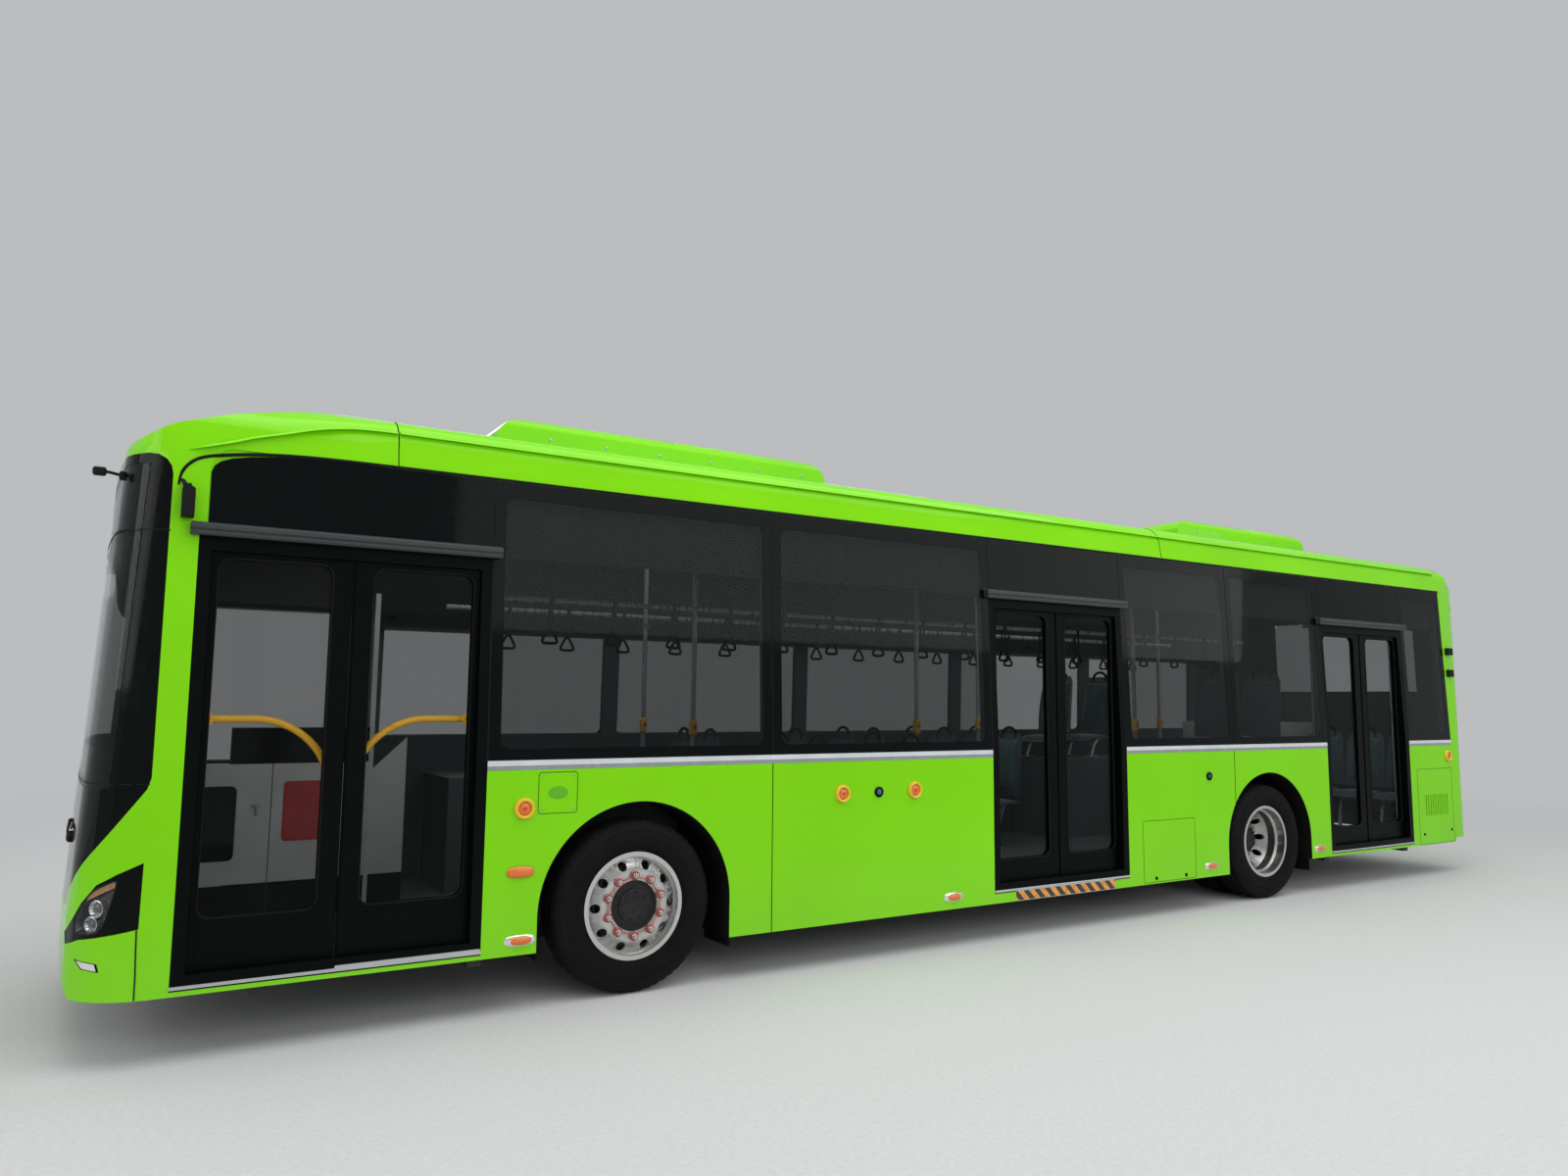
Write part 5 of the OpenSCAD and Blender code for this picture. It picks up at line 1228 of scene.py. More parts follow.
wiper = {
    "y": (-0.56, 0.56), "z": 0.95, "blade": (-0.48, 0.02), "points": 24,
    "pivot": ((0.0005, 0.022), (0.016, 0.0205), (0.024, 0.016), (0.028, 0.008), (0.028, -0.008),
              (0.0005, -0.008)),
    "arm": ((0.014, 0, 0.952), (0.017, -0.012, 0.975), (0.018, -0.06, 0.992), (0.018, -0.16, 1.0),
            (0.018, -0.27, 1.004)),
}
pod = {
    "outline": ((5.580, 2.458), (5.632, 2.458), (5.633, 2.590), (5.626, 2.606), (5.600, 2.610),
                (5.596, 2.598), (5.586, 2.594), (5.580, 2.584)),
    "middle": (5.606, 2.530), "y": (1.195, 1.2965), "eyeY": 1.252,
    "arm": ((5.640, 1.192, 2.640), (5.632, 1.205, 2.634), (5.624, 1.222, 2.622), (5.618, 1.236, 2.602)),
    "eyes": ((2.560, 0.017), (2.500, 0.020)),
}


def addWipers():
    bodies, blades, n = [], [], wiper["points"]
    x = nose["x"] - 0.0136 - nose["lean"] * (wiper["z"] - nose["leanZ"])
    ends = np.clip(np.minimum(np.arange(n), np.arange(n)[::-1]) / 3 + 0.4, 0, 1)
    for y in wiper["y"]:
        bodies.append(lathe(wiper["pivot"], (x, y, wiper["z"]), 32, "x"))
        arm = refined(np.add(wiper["arm"], (x, y, 0)), n, 3)
        bodies.append(sweep(arm, roundRect(-0.009, 0.009, -0.005, 0.005, 0.003, 3), alongX,
                            np.linspace(1.2, 0.7, n)))
        bodies.append(block((x + 0.010, y - 0.285, 0.990), (x + 0.024, y - 0.235, 1.010), 0.004))
        run = y + np.linspace(*wiper["blade"], n)
        spine = roundRect(-0.006, 0.006, -0.003, 0.004, 0.002, 2)
        lip = roundRect(-0.002, 0.002, -0.006, 0.002, 0.001, 2)
        bodies.append(sweep(points(x + 0.013, run, 0.992), spine, alongX, ends))
        blades.append(sweep(points(x + 0.006, run, 0.9885), lip, alongX))
    addPiece("wiperArms", bodies, "blackMatt", replaces=("wipers",))
    addPiece("wiperBlades", blades, "gasketRubber")


def addPods():
    (cx, cz), y0, y1 = pod["middle"], *pod["y"]
    small = [(cx + (x - cx) * 0.86, cz + (z - cz) * 0.93) for x, z in pod["outline"]]
    shells = [prism(pod["outline"], "y", y0, y1), prism(small, "y", y1 - 0.001, y1 + 0.002),
              tube(pod["arm"], 0.010, 10)]
    lenses = []
    for z, r in pod["eyes"]:
        rim = [(r + 0.005, 5.584), (r + 0.005, 5.5785), (r, 5.578), (r - 0.003, 5.581), (0.0005, 5.581),
               (0.0005, 5.584)]
        lens = [(0.0005, 5.5785), (r * 0.5, 5.579), (r * 0.8, 5.580), (r * 0.8, 5.582), (0.0005, 5.582)]
        for profile, group in ((rim, shells), (lens, lenses)):
            group.append(lathe(profile, (0, pod["eyeY"], z), 28, "x"))
    addPiece("cameraPods", bothSides(shells), "blackMatt", angle=30, replaces=("mirror_cameras",))
    addPiece("cameraPodLenses", bothSides(lenses), "beamGlass")


addWipers()
addPods()
print("front made")

# cabin: wall and ceiling linings, ducts, arch liners

cabin = {
    "wallDepth": (-0.0535, -0.0503), "postHalf": 0.0592, "postDepth": (-0.055, -0.0072), "ledgeTop": -0.0085,
    "sill": 1.362, "cabSill": 1.205, "head": 2.750, "doorBehind": (0.590, -3.490),
    "doorAhead": (4.160, -0.800, -4.880),
    "ledges": {1: ((0.592, 4.158, 1.362), (-3.488, -0.802, 1.362), (-5.62, -4.882, 1.362)),
               -1: ((-4.83, 4.338, 1.362), (4.338, 5.465, 1.205))},
    "low": {  # by side: rear end, front end, foot
        1: ((3.900, 4.150, 0.3405), (2.6715, 3.900, 1.1005), (0.602, 2.672, 0.3405), (-1.990, -0.812, 0.3405),
            (-3.2105, -1.990, 1.1005), (-3.478, -3.210, 0.3405), (-5.650, -4.892, 0.3405)),
        -1: ((4.286, 5.551, 0.3405), (3.900, 4.286, 0.3405), (2.6715, 3.900, 1.1005), (-1.990, 2.672, 0.3405),
             (-3.2105, -1.990, 1.1005), (-4.669, -3.210, 0.3405), (-4.935, -4.669, 1.10)),
    },
    "posts": {1: (4.160, 2.404, 0.590, -0.800, -2.140, -3.490, -4.880, -5.625),
              -1: (5.520, 4.280, 2.448, 0.616, -1.216, -3.048, -4.880)},
    "corners": ((5.552, 5.66, 0.3405, 2.755, -0.0575), (5.6595, 5.6735, 1.362, 2.755, -0.0575),
                (5.640, 5.6825, 1.208, 1.5600, -0.0665)),
    "ductDrop": {1: 0.0, -1: 0.29},  # over the doors the duct stays above the leaves
    "duct": ((1.186, 2.410), (1.120, 2.405), (1.020, 2.440), (0.930, 2.560), (0.880, 2.760), (0.860, 3.020),
             (0.876, 3.030), (1.00, 3.00), (1.060, 2.95), (1.146, 2.80)),
    "vent": ((0.030, 0.002), (0.030, -0.004), (0.024, -0.007), (0.018, -0.003), (0.006, -0.002),
             (0.0005, -0.002), (0.0005, 0.002)),
    "lampStrip": ((0.872, 2.80), (0.866, 2.90), (0.856, 2.90), (0.862, 2.80)), "linerR": (0.5843, 0.5790),
}


def addCabin():
    linings, posts, ducts, vents, lights, liners = ([] for _ in range(6))
    (d0, d1), (p0, p1), ledgeTop = cabin["wallDepth"], cabin["postDepth"], cabin["ledgeTop"]
    for side in (1, -1):
        for x0, x1, z0 in cabin["low"][side]:
            top = cabin["cabSill"] if side < 0 and x0 > 4.28 else cabin["sill"]
            linings.append(sidePlate(x0, x1, z0, top, d0, d1, side, 0.0005, 3))
        for x in cabin["posts"][side]:
            # a post beside a doorway is a half one
            x0 = x if side > 0 and x in cabin["doorBehind"] else x - cabin["postHalf"]
            x1 = x if side > 0 and x in cabin["doorAhead"] else min(x + cabin["postHalf"], 5.549)
            foot = 1.20 if x > bus["doorX"][0] else 1.34
            posts.append(sidePlate(x0, x1, foot, cabin["head"], p0, p1, side, 0.004, 2))
        posts.append(sidePlate(-5.62, 5.50, cabin["head"] - 0.002, 2.814, p0, p1, side))
        for x0, x1, z0 in cabin["ledges"][side]:
            posts.append(sidePlate(x0, x1, z0 - 0.0025, z0 + 0.0025, p0, ledgeTop, side))
    posts.append(sidePlate(4.336, 4.342, 1.20, 1.3645, p0, ledgeTop, -1))
    for x0, x1, z0, z1, depth in cabin["corners"]:
        linings += [sidePlate(x0, x1, z0, z1, depth, d1, side, 0.0005, 3) for side in (1, -1)]
    linings.append(sidePlate(-5.650, -4.930, 1.10, cabin["head"], d0, d1, -1, 0.0005, 3))
    addPiece("wallLinings", linings, "liningGrey")
    addPiece("windowPosts", posts, "seatShell")
    ceiling = np.vstack([crossLine(0.0503), crossLine(0.0540)[::-1]])
    addPiece("ceilingLining", [prism(ceiling, "x", -5.60, 4.655)], "ceilingPanel")

    vent = lathe(cabin["vent"], (0, 0, 0), 20, "z")
    for side, drop in cabin["ductDrop"].items():
        ducts.append(prism([(side * y, z - (drop if z < 2.6 else 0.0)) for y, z in cabin["duct"]], "x", -5.58,
                           4.40))
        tilted = turned(vent, 0, alongX, side * math.radians(52))
        vents += [moved(tilted, (x, side * 0.975, 2.500 - drop)) for x in np.arange(-5.1, 4.2, 0.62)]
        lights.append(prism([(side * y, z) for y, z in cabin["lampStrip"]], "x", -5.40, 4.20))
        for x, foot in ((bus["frontAxleX"], bus["skirtZ"]), (bus["rearAxleX"], bus["endSkirtZ"])):
            outer, inner = (np.vstack([[[x - r, foot + 0.001]], arc(x, bus["axleZ"], r, 180, 0, 41),
                                       [[x + r, foot + 0.001]]])
                            for r in cabin["linerR"])
            liners.append(prism(np.vstack([outer, inner[::-1]]), "y", side * 0.90, side * 1.2485))
    addPiece("ceilingDucts", ducts, "ductGrey")
    addPiece("ductVents", vents, "blackSatin")
    addPiece("ceilingLampStrips", lights, "clearLens")
    addPiece("archLiners", liners, "flapRubber", angle=30)


addCabin()

# seats: moulded shells on side legs, crowned pads, loop handles

seats = {
    "half": 0.215, "rows": (2.130, 1.337, 0.544, -0.249, -1.042), "windowY": 0.970, "aisleY": 0.520,
    "rearX": (-2.18, -2.78), "rearY": 0.945, "rearLift": 0.559, "rearFloor": 1.099, "lastX": -5.33,
    "lastY": (0.90, 0.46, 0.02), "cab": (4.82, -0.64, 0.06), "top": 0.78,
    "loopX": -0.2375, "loopFoot": 0.515, "loop": (0, 0.560, 0.088, 0, 180, 18, 0.070),
    "legY": (-0.155, 0.155),
}


def seatPlaces():
    s = seats
    places = [(x, -y, 0.0) for x in s["rows"] for y in (s["windowY"], s["aisleY"])]
    places += [(x, y, 0.0) for x in s["rows"][:2] for y in (s["windowY"], s["aisleY"])]
    places += [(x, side * s["rearY"], s["rearLift"]) for x in s["rearX"] for side in (1, -1)]
    places += [(s["lastX"], y, 0.0) for y in s["lastY"]]
    return places + [s["cab"]]


def backPoint(u, v, out):
    # the back's mid surface: rising and leaning with a soft lumbar curve, wrapped forward at its sides
    lift = 0.055 + 0.565 * v
    lean = -0.155 - 0.085 * v + 0.018 * np.sin(np.pi * v) + 0.022 * np.abs(u) ** 3
    width = seats["half"] * (1 - 0.16 * v ** 3) * np.clip(1 - np.maximum(v - 0.86, 0) ** 2 * 9, 0.4, 1)
    return points(lean + out, u * width, lift - 0.04)


def panPoint(u, v, out):
    # the seat pan: u across, v from the back to the rounded front lip
    run = -0.19 + 0.385 * v
    lip = 0.030 * np.maximum(v - 0.82, 0) / 0.18
    drop = -0.050 - lip - 0.006 * np.sin(np.pi * v) + 0.012 * np.abs(u) ** 3
    return points(run, u * seats["half"] * (1 - 0.06 * v), drop + out)


def slab(point, nu, nv, thick):
    # a sheet of one thickness, from a function of u (-1 to 1) and v (0 to 1)
    u, v = np.meshgrid(np.linspace(-1, 1, nu), np.linspace(0, 1, nv), indexing="ij")
    return closedSheet(point(u, v, 0.0), point(u, v, -thick), nu, nv)


def padGrid(nu, nv):
    return np.meshgrid(np.linspace(-1, 1, nu), np.linspace(-1, 1, nv), indexing="ij")


def crownedPad(point, span, thick, crown, nu=26, nv=30):
    # a pad on a curved sheet: sides pulled in between the corners, edges rounded, and a crown over its middle
    u, v = padGrid(nu, nv)
    pu = 0.86 * u * (1 - 0.05 * (1 - v * v))
    mid, half = (span[0] + span[1]) / 2, (span[1] - span[0]) / 2
    pv = mid + half * v * (1 - 0.05 * (1 - u * u))
    edge = ((1 - u ** 10) * (1 - v ** 10)).clip(0, 1) ** 0.4
    rise = 0.001 + thick * edge + crown * (1 - u * u) * (1 - v * v)
    return closedSheet(point(pu, pv, rise), point(pu, pv, 0.0 * rise), nu, nv)


def filledPad(name, shape, axis, reach, nu=26, nv=30):
    # cloth under inner pressure swells the cover; a move m becomes reach * m / (reach + m), and the underside
    # stays. Then two channels are sewn down its length: depth = 5 mm * exp(-((|u| - 0.52) / 0.05)^2)
    mesh = meshFromShape(name, shape)
    cover = linked(name, mesh)
    cloth = cover.modifiers.new("cloth", "CLOTH")
    cloth.settings.quality = 6
    cloth.settings.mass = 0.3
    cloth.settings.use_pressure = True
    cloth.settings.uniform_pressure_force = 4.0
    cloth.settings.effector_weights.gravity = 0.0
    cloth.point_cache.frame_start, cloth.point_cache.frame_end = 1, 20
    for frameNumber in range(1, 21):
        bpy.context.scene.frame_set(frameNumber)
    blown = cover.evaluated_get(bpy.context.evaluated_depsgraph_get()).to_mesh()
    after = np.empty(len(blown.vertices) * 3, np.float32)
    blown.vertices.foreach_get("co", after)
    step = after.reshape(-1, 3) - shape[0]
    length = np.linalg.norm(step, axis=1, keepdims=True)
    step *= reach / (reach + length)
    u, v = (g.ravel() for g in padGrid(nu, nv))
    free = ((1 - np.abs(u) ** 8) * (1 - np.abs(v) ** 8))[:, None]
    verts = shape[0].copy()
    verts[:nu * nv] += step[:nu * nv] * free
    verts[:nu * nv, axis] -= 0.005 * np.exp(-((np.abs(u) - 0.52) / 0.05) ** 2) * (1 - v ** 8)
    cover.modifiers.clear()
    bpy.data.objects.remove(cover)
    bpy.data.meshes.remove(mesh)
    bpy.context.scene.frame_set(1)
    print(name, "filled, greatest move", round(float(length.max()), 4))
    return verts, shape[1]


def addSeats():
    shells, backs, cushions, loops, legs = ([] for _ in range(5))
    shellParts = [slab(backPoint, 15, 18, 0.014), slab(panPoint, 15, 16, 0.014)]
    backPad = filledPad("backCover", crownedPad(backPoint, (0.10, 0.90), 0.014, 0.010), 0, 0.009)
    cushion = filledPad("cushionCover", crownedPad(panPoint, (0.08, 0.94), 0.018, 0.014), 2, 0.012)
    r, foot = seats["loop"][2], seats["loopFoot"]
    loop = points(seats["loopX"], *np.vstack([[[r, foot]], arc(*seats["loop"]), [[-r, foot]]]).T)
    loop = tube(loop, 0.0135, 12, alongX)
    for x, y, lift in seatPlaces():
        at = (x, y, seats["top"] + lift)
        shells += [moved(s, at) for s in shellParts]
        for shape, group in ((backPad, backs), (cushion, cushions), (loop, loops)):
            group.append(moved(shape, at))
        floor = seats["rearFloor"] if lift == seats["rearLift"] else bus["floorZ"]
        for q in (y + dy for dy in seats["legY"]):
            leg = ((x + 0.10, q, floor + 0.004), (x + 0.06, q, (floor + at[2]) / 2), (x, q, at[2] - 0.066))
            legs.append(sweep(leg, roundRect(-0.017, 0.017, -0.015, 0.015, 0.006, 2), alongY))
            legs.append(block((x + 0.03, q - 0.03, floor), (x + 0.17, q + 0.03, floor + 0.008), 0.003))
    addPiece("seatShells", shells, "seatShell", angle=45, replaces=("seats",))
    addPiece("seatLoops", loops, "blackSatin")
    addPiece("seatLegs", legs, "stanchionGrey")
    for name, group in (("seatCushions", cushions), ("seatBackPads", backs)):
        pad = addPiece(name, group, "seatCloth", angle=50)


addSeats()

# strap handles, pole clamps and stop buttons

strap = {
    "y": (0.42, -0.42), "x": (-2.9, 3.8, 0.43), "z": (2.085, 2.268),
    "bands": ((-0.0205, -0.0180), (0.0180, 0.0205)),
    "slider": ((0.0178, -0.0125), (0.0205, -0.0125), (0.0205, 0.0125), (0.0178, 0.0125)),
    "grip": ((0.0, 2.092), (0.052, 1.998), (0.040, 1.982), (-0.040, 1.982), (-0.052, 1.998)),
}
pole = {
    "at": ((3.98, 0.42), (2.52, 0.40), (2.52, -0.40), (0.60, 0.42), (-0.80, 0.42), (-0.80, -0.42),
           (-1.84, 0.47), (-1.84, -0.47), (-3.36, -0.47)),
    "foot": ((0.0174, -0.012), (0.032, -0.012), (0.040, -0.004), (0.040, 0.0), (0.0174, 0.0)),
    "collar": ((0.0174, -0.02), (0.024, -0.02), (0.026, -0.014), (0.026, 0.014), (0.024, 0.02),
               (0.0174, 0.02)),
    "button": ((0.0005, 0.037), (0.010, 0.037), (0.014, 0.034), (0.015, 0.030), (0.0005, 0.030)),
}


def addStraps():
    straps, grips, clamps, buttons, faces = ([] for _ in range(5))
    (z0, z1), grip = strap["z"], finer(strap["grip"], 4, 2)
    for y in strap["y"]:
        for x in np.arange(*strap["x"]):
            for a, b in strap["bands"]:
                straps.append(block((x - 0.011, y + a, z0), (x + 0.011, y + b, z1), 0.001))
            straps.append(lathe(strap["slider"], (x, y, 2.25), 16, "x"))
            grips.append(tube(laid(grip + [x, 0], y), 0.010, 8, alongY, True))
    for x, y in pole["at"]:
        clamps.append(lathe(pole["foot"], (x, y, 0.353), 24, "z"))
        clamps.append(lathe(pole["collar"], (x, y, 2.18), 20, "z"))
        buttons.append(block((x - 0.022, y - 0.030, 1.395), (x + 0.022, y + 0.032, 1.505), 0.012))
        faces.append(lathe(pole["button"], (x, y, 1.455), 20))
    addPiece("strapBands", straps, "blackMatt")
    addPiece("strapGrips", grips, "blackSatin")
    addPiece("poleClamps", clamps, "steelPlate")
    addPiece("stopButtons", buttons, "yellowRing")
    addPiece("stopButtonFaces", faces, "redPlastic")


addStraps()

# driver's place: pale panels, dark panes, red panel, latch, locker, screen in the dash

cab = {
    "y": -0.2150, "rearY": -0.2298, "panels": ((4.472, 5.007), (5.013, 5.458)), "tail": (4.240, 4.442),
    "bolts": ((4.51, 0.58), (4.97, 0.58), (4.51, 1.20), (4.97, 1.20), (5.05, 0.58), (5.42, 0.58),
              (5.05, 1.20), (5.42, 1.20)),
    "bolt": ((0.0005, 0.0062), (0.005, 0.0058), (0.0065, 0.0035), (0.0005, 0.0035)),
    "locker": ((-1.150, 2.215), (-0.860, 2.205), (-0.830, 2.235), (-0.800, 2.620), (-0.830, 2.760),
               (-1.110, 2.760)),
    "dialAt": ((5.575, -0.74, 0), (5.575, -0.54, 0)), "podPivot": (5.462, -0.64, 1.050), "podTurn": 28,
    "dialRim": ((0.060, 1.06), (0.060, 1.082), (0.054, 1.086), (0.050, 1.080), (0.0005, 1.078),
                (0.0005, 1.06)),
    "dialFace": ((0.0495, 1.0805), (0.0005, 1.0815), (0.0005, 1.079), (0.0495, 1.079)),
}


def addCab():
    y, rear, (tail0, tail1) = cab["y"], cab["rearY"], cab["tail"]
    pale, dark = [block((5.2385, -0.2545, 0.3405), (5.4600, y + 0.0003, 1.2400), 0.004)], []
    for x0, x1 in cab["panels"]:
        pale.append(plate(x0, x1, 0.545, 1.235, y + 0.0002, y + 0.004, 0.004, 2))
        dark.append(plate(x0, x1, 0.345, 0.540, y + 0.0002, y + 0.006, 0.004, 2))
    pale.append(plate(4.440, 4.470, 0.345, 2.290, rear, -0.226, 0.002))
    pale.append(prism([(tail0, 0.545), (tail1, 0.545), (tail1, 1.190), (tail0, 1.385)], "y", rear, -0.2258))
    dark.append(plate(5.195, 5.385, 0.680, 1.110, y + 0.003, y + 0.0065, 0.035, 6))
    dark.append(plate(4.472, 5.238, 1.240, 1.445, y + 0.0002, y + 0.005, 0.006, 2))
    dark.append(plate(tail0, tail1, 0.345, 0.540, rear, -0.2250, 0.002))
    bits = [block((5.065, y + 0.004, 0.985), (5.115, y + 0.012, 1.000), 0.003),
            block((5.080, y + 0.004, 0.935), (5.092, y + 0.020, 1.000), 0.003)]
    bits += [lathe(cab["bolt"], (x, y, z), 14) for x, z in cab["bolts"]]
    addPiece("cabLocker", [prism(cab["locker"], "x", 4.476, 5.540)], "dashPlastic")
    addPiece("cabPanels", pale, "wallPanel")
    addPiece("cabPanes", dark, "blackGloss")
    addPiece("cabRedPanel", [plate(4.730, 4.945, 0.777, 1.130, y + 0.003, y + 0.006, 0.024, 6)], "redPanel")
    addPiece("cabLatches", bits, "steelPlate")
    podBlock = block((5.50, -0.86, 1.035), (5.66, -0.42, 1.075), 0.008)
    dials = [turned(podBlock, cab["podPivot"], alongY, math.radians(cab["podTurn"]))]
    dials += [lathe(cab["dialRim"], at, 32, "z") for at in cab["dialAt"]]
    addPiece("dashPod", dials, "dashPlastic")
    addPiece("dashDials", [lathe(cab["dialFace"], at, 32, "z") for at in cab["dialAt"]], "beamGlass")


addCab()

# rear: window, lamps, hatch seams, corner clips, blank plate

tail = {
    "z": (0.0, 0.5, 0.56, 1.1, 1.8, 2.811, 3.0, 3.08), "x": (0.14, 0.12, 0.02, 0.0, 0.03, 0.06, 0.12, 0.26),
    "flatY": 1.02, "r": 0.23, "window": (-0.86, 0.86, 1.75, 2.64), "lamp": (1.010, 1.130, 0.900, 1.500),
    "rounds": ((0.985, "Red"), (1.100, "Red"), (1.205, "White"), (1.305, "Amber"), (1.415, "Red")),
    "round": ((0.0005, 0.013), (0.018, 0.0125), (0.034, 0.0105), (0.043, 0.006), (0.045, -0.002),
              (0.0005, -0.002)),
    "roundRim": ((0.0445, -0.002), (0.0505, -0.002), (0.0505, 0.006), (0.047, 0.009), (0.0445, 0.006)),
    "reflector": (0.90, 1.10, 0.585, 0.640),
    "seamBoxes": ((-0.95, 0.95, 0.62, 1.66), (-0.30, 0.30, 2.68, 2.78)),
    "seamZ": (0.80, 1.46, 2.66), "slats": 12, "slatStep": 0.045, "clipZ": (2.204, 1.982), "clipY": 1.243,
    "lock": ((0.0005, 0.003), (0.010, 0.003), (0.014, 0.006), (0.018, -0.001), (0.0005, -0.001)),
    "plate": (-0.26, 0.26, 0.400, 0.510), "liningGap": 0.0505,
}


def onTail(shape):
    # lays a shape drawn in y, depth and z on the rear: its leaning face, or its round corner where that is
    # further forward
    y, d, z = shape[0].T
    turn = np.arcsin(np.clip(np.abs(y) - tail["flatY"], 0, tail["r"] - 1e-4) / tail["r"])
    corner, face = tail["r"] * (1 - np.cos(turn)), np.interp(z, tail["z"], tail["x"])
    use = corner > face
    x = bus["tailX"] + np.maximum(face, corner) - d * np.where(use, np.cos(turn), 1)
    return points(x, y + np.where(use, np.sign(y) * d * np.sin(turn), 0), z), shape[1]


def rearBand(box, r, width, depth0, depth1):
    outer, inner = roundRect(*box, r, 6), roundRect(*inset(box, width), max(r - width, 0.001), 6)
    return onTail(band(finer(outer, 3), finer(inner, 3), depth0, depth1))


def rearPane(box, r, n, depth, thick, rings):
    return onTail(pane(finer(roundRect(*box, r, n), 3), depth, thick, rings))


def addRear():
    window = tail["window"]
    addPiece("rearWindowPane", [rearPane(inset(window, 0.052), 0.05, 6, 0.0002, 0.006, 6)], "sideGlass")
    addPiece("rearWindowBorder", [rearBand(inset(window, 0.002), 0.02, 0.050, -0.006, 0.0004)], "blackFrit")
    reveal = rearBand(inset(window, 0.0395), 0.001, 0.004, -0.0555, -0.0066)
    addPiece("rearWindowReveal", [reveal], "gasketRubber")

    lenses, cases = {"Red": [], "Amber": [], "White": []}, []
    y0, y1, low, high = tail["lamp"]
    for side in (1, -1):
        box = (*sorted((side * y0, side * y1)), low, high)
        cases.append(rearBand(inset(box, 0.0005), 0.02, 0.008, -0.004, 0.006))
        cases.append(rearPane(inset(box, 0.004), 0.018, 5, -0.002, 0.004, 4))
        for z, colour in tail["rounds"]:
            at = (side * (y0 + y1) / 2, 0, z)
            lenses[colour].append(onTail(lathe(tail["round"], at, 32)))
            cases.append(onTail(lathe(tail["roundRim"], at, 32)))
        a, b, *z = tail["reflector"]
        lenses["Red"].append(rearPane((*sorted((side * a, side * b)), *z), 0.012, 4, 0.008, 0.010, 3))

    seams = [rearBand(box, 0.03, 0.004, -0.001, 0.0009) for box in tail["seamBoxes"]]
    for side in (1, -1):
        for z in tail["seamZ"]:
            line = points(side * np.linspace(0.98, 1.25, 14, endpoint=False), 0.0, z)
            seams.append(tube(onTail((line, []))[0], 0.0026, 6))
    heights = tail["slatStep"] * np.arange(tail["slats"])
    black = [onTail(plate(-0.62, 0.62, 0.760 + h, 0.778 + h, -0.001, 0.003, 0.008, 4)) for h in heights]
    black += [onTail(plate(y, y + 0.10, 1.58, 1.60, -0.001, 0.006, 0.008, 4)) for y in (-0.10, 0.10)]
    for z in tail["clipZ"]:
        for y in (tail["clipY"], -tail["clipY"]):
            black.append(block((-5.800, y - 0.016, z - 0.036), (-5.700, y + 0.016, z + 0.036), 0.006))
    addPiece("tailLampCases", cases, "blackSatin")
    for colour, look in (("Red", "redLens"), ("Amber", "amberLens"), ("White", "clearLens")):
        addPiece(f"tailLamp{colour}", lenses[colour], look)
    addPiece("rearSeams", seams, "seamShadow")
    addPiece("rearGrille", black, "blackMatt")
    addPiece("rearLocks", [onTail(lathe(tail["lock"], (y, 0, 0.70), 24)) for y in (-0.80, 0.80)],
             "blackSatin")
    addPiece("rearPlate", [rearPane(tail["plate"], 0.008, 4, 0.006, 0.006, 3)], "wallPanel")


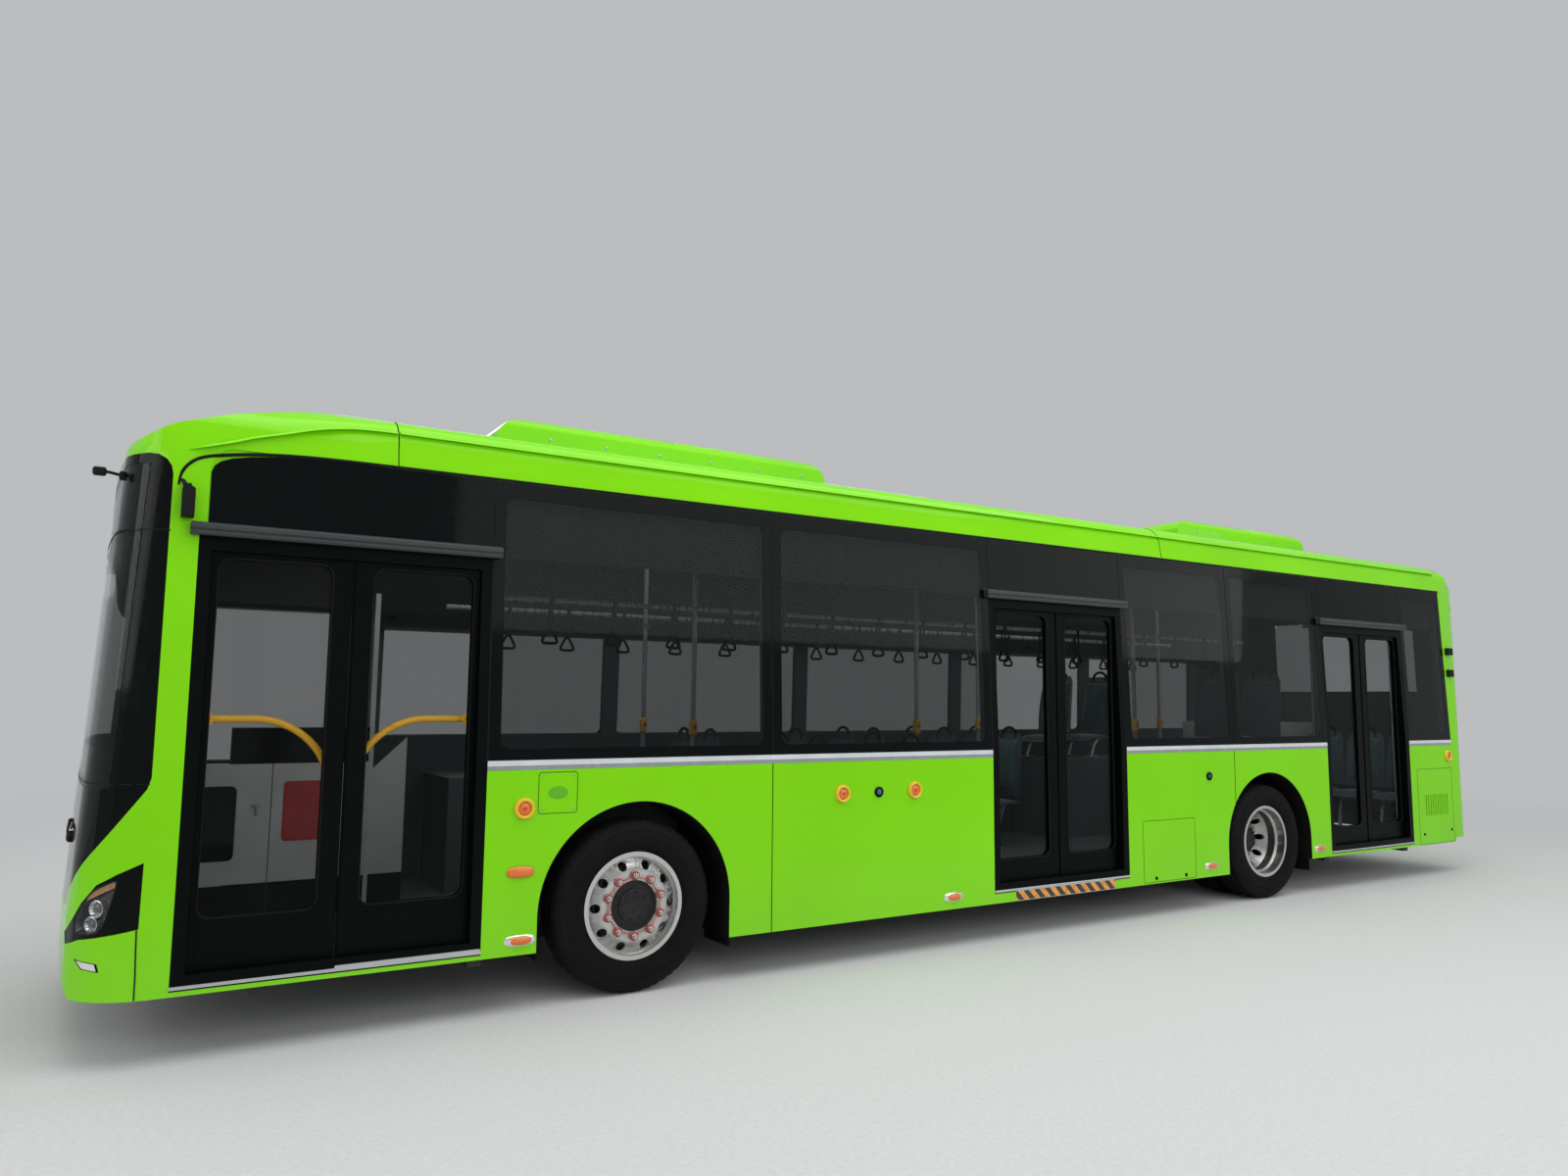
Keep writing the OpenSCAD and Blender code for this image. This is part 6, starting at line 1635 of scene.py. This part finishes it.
def rearLining(y0, y1, z0, z1):
    # the inner face of the rear: its leaning face or its round corner, whichever is further forward, then
    # the side wall
    gap, r, flatY, x0 = tail["liningGap"], tail["r"] - tail["liningGap"], tail["flatY"], bus["tailX"]
    half = np.vstack([[[x0, 0.0]], arc(x0 + tail["r"], flatY, r, 180, 90, 10), [[-5.64, flatY + r]]])
    plan = np.vstack([(half * [1, -1])[::-1], half[1:]])
    plan = plan[(plan[:, 1] > y0) & (plan[:, 1] < y1)]
    start, end = ([[x0, y]] if abs(y) < 1.2 else np.empty((0, 2)) for y in (y0, y1))
    plan = np.vstack([start, plan, end])
    z = np.array([z0, *(h for h in tail["z"] if z0 < h < z1), z1])
    layers = []
    for d in (gap, gap + 0.003):
        face, limit = x0 + np.interp(z, tail["z"], tail["x"]) + d, sideY(z) - d
        layers.append(points(np.maximum(plan[:, :1] + d - gap, face), np.clip(plan[:, 1:], -limit, limit), z))
    return closedSheet(*layers, len(plan), len(z))


addRear()
noseLining = [frontLine(0.72, 1.440, 0.3405, 1.209, -0.0545, 0.003, 30, side) for side in (1, -1)]
addPiece("noseLining", noseLining, "liningGrey")
rearParts = ((-2, 2, 0.3405, 1.7895), (0.8205, 2, 1.7895, 2.6005), (-2, -0.8205, 1.7895, 2.6005),
             (-2, 2, 2.6005, 2.80))
addPiece("rearLining", [rearLining(*box) for box in rearParts], "liningGrey")

# roof: two hatches, and the screws of the fairings

roof = {
    "hatchX": (0.6, -4.85), "hatchZ": 3.119, "screwRuns": ((1.73, 4.06), (-3.96, -2.04)), "screwStep": 0.36,
    "screw": ((0.0005, 0.823), (0.006, 0.823), (0.009, 0.8215), (0.0095, 0.818), (0.0005, 0.818)),
}


def addRoof():
    lids, screws, z = [], [], roof["hatchZ"]
    for x in roof["hatchX"]:
        outer = roundRect(x - 0.40, x + 0.40, -0.36, 0.36, 0.06, 6)
        inner = roundRect(x - 0.36, x + 0.36, -0.32, 0.32, 0.04, 6)
        k = len(outer)
        steps = ((outer, -0.008), (outer, 0.014), (inner, 0.030), (inner, -0.008))
        rings = [points(*o.T, z + h) for o, h in steps]
        lids.append((np.vstack(rings), [gridFaces(4, k, False, True), (np.arange(k) + 2 * k)[None]]))
    for x0, x1 in roof["screwRuns"]:
        along = np.arange(x0 + 0.2, x1 - 0.1, roof["screwStep"])
        screws += bothSides([lathe(roof["screw"], (x, 0, 3.175), 12) for x in along])
    addPiece("roofHatches", lids, "greenPaint")
    addPiece("fairingScrews", screws, "steelPlate")


addRoof()
print("cabin, rear and roof made")
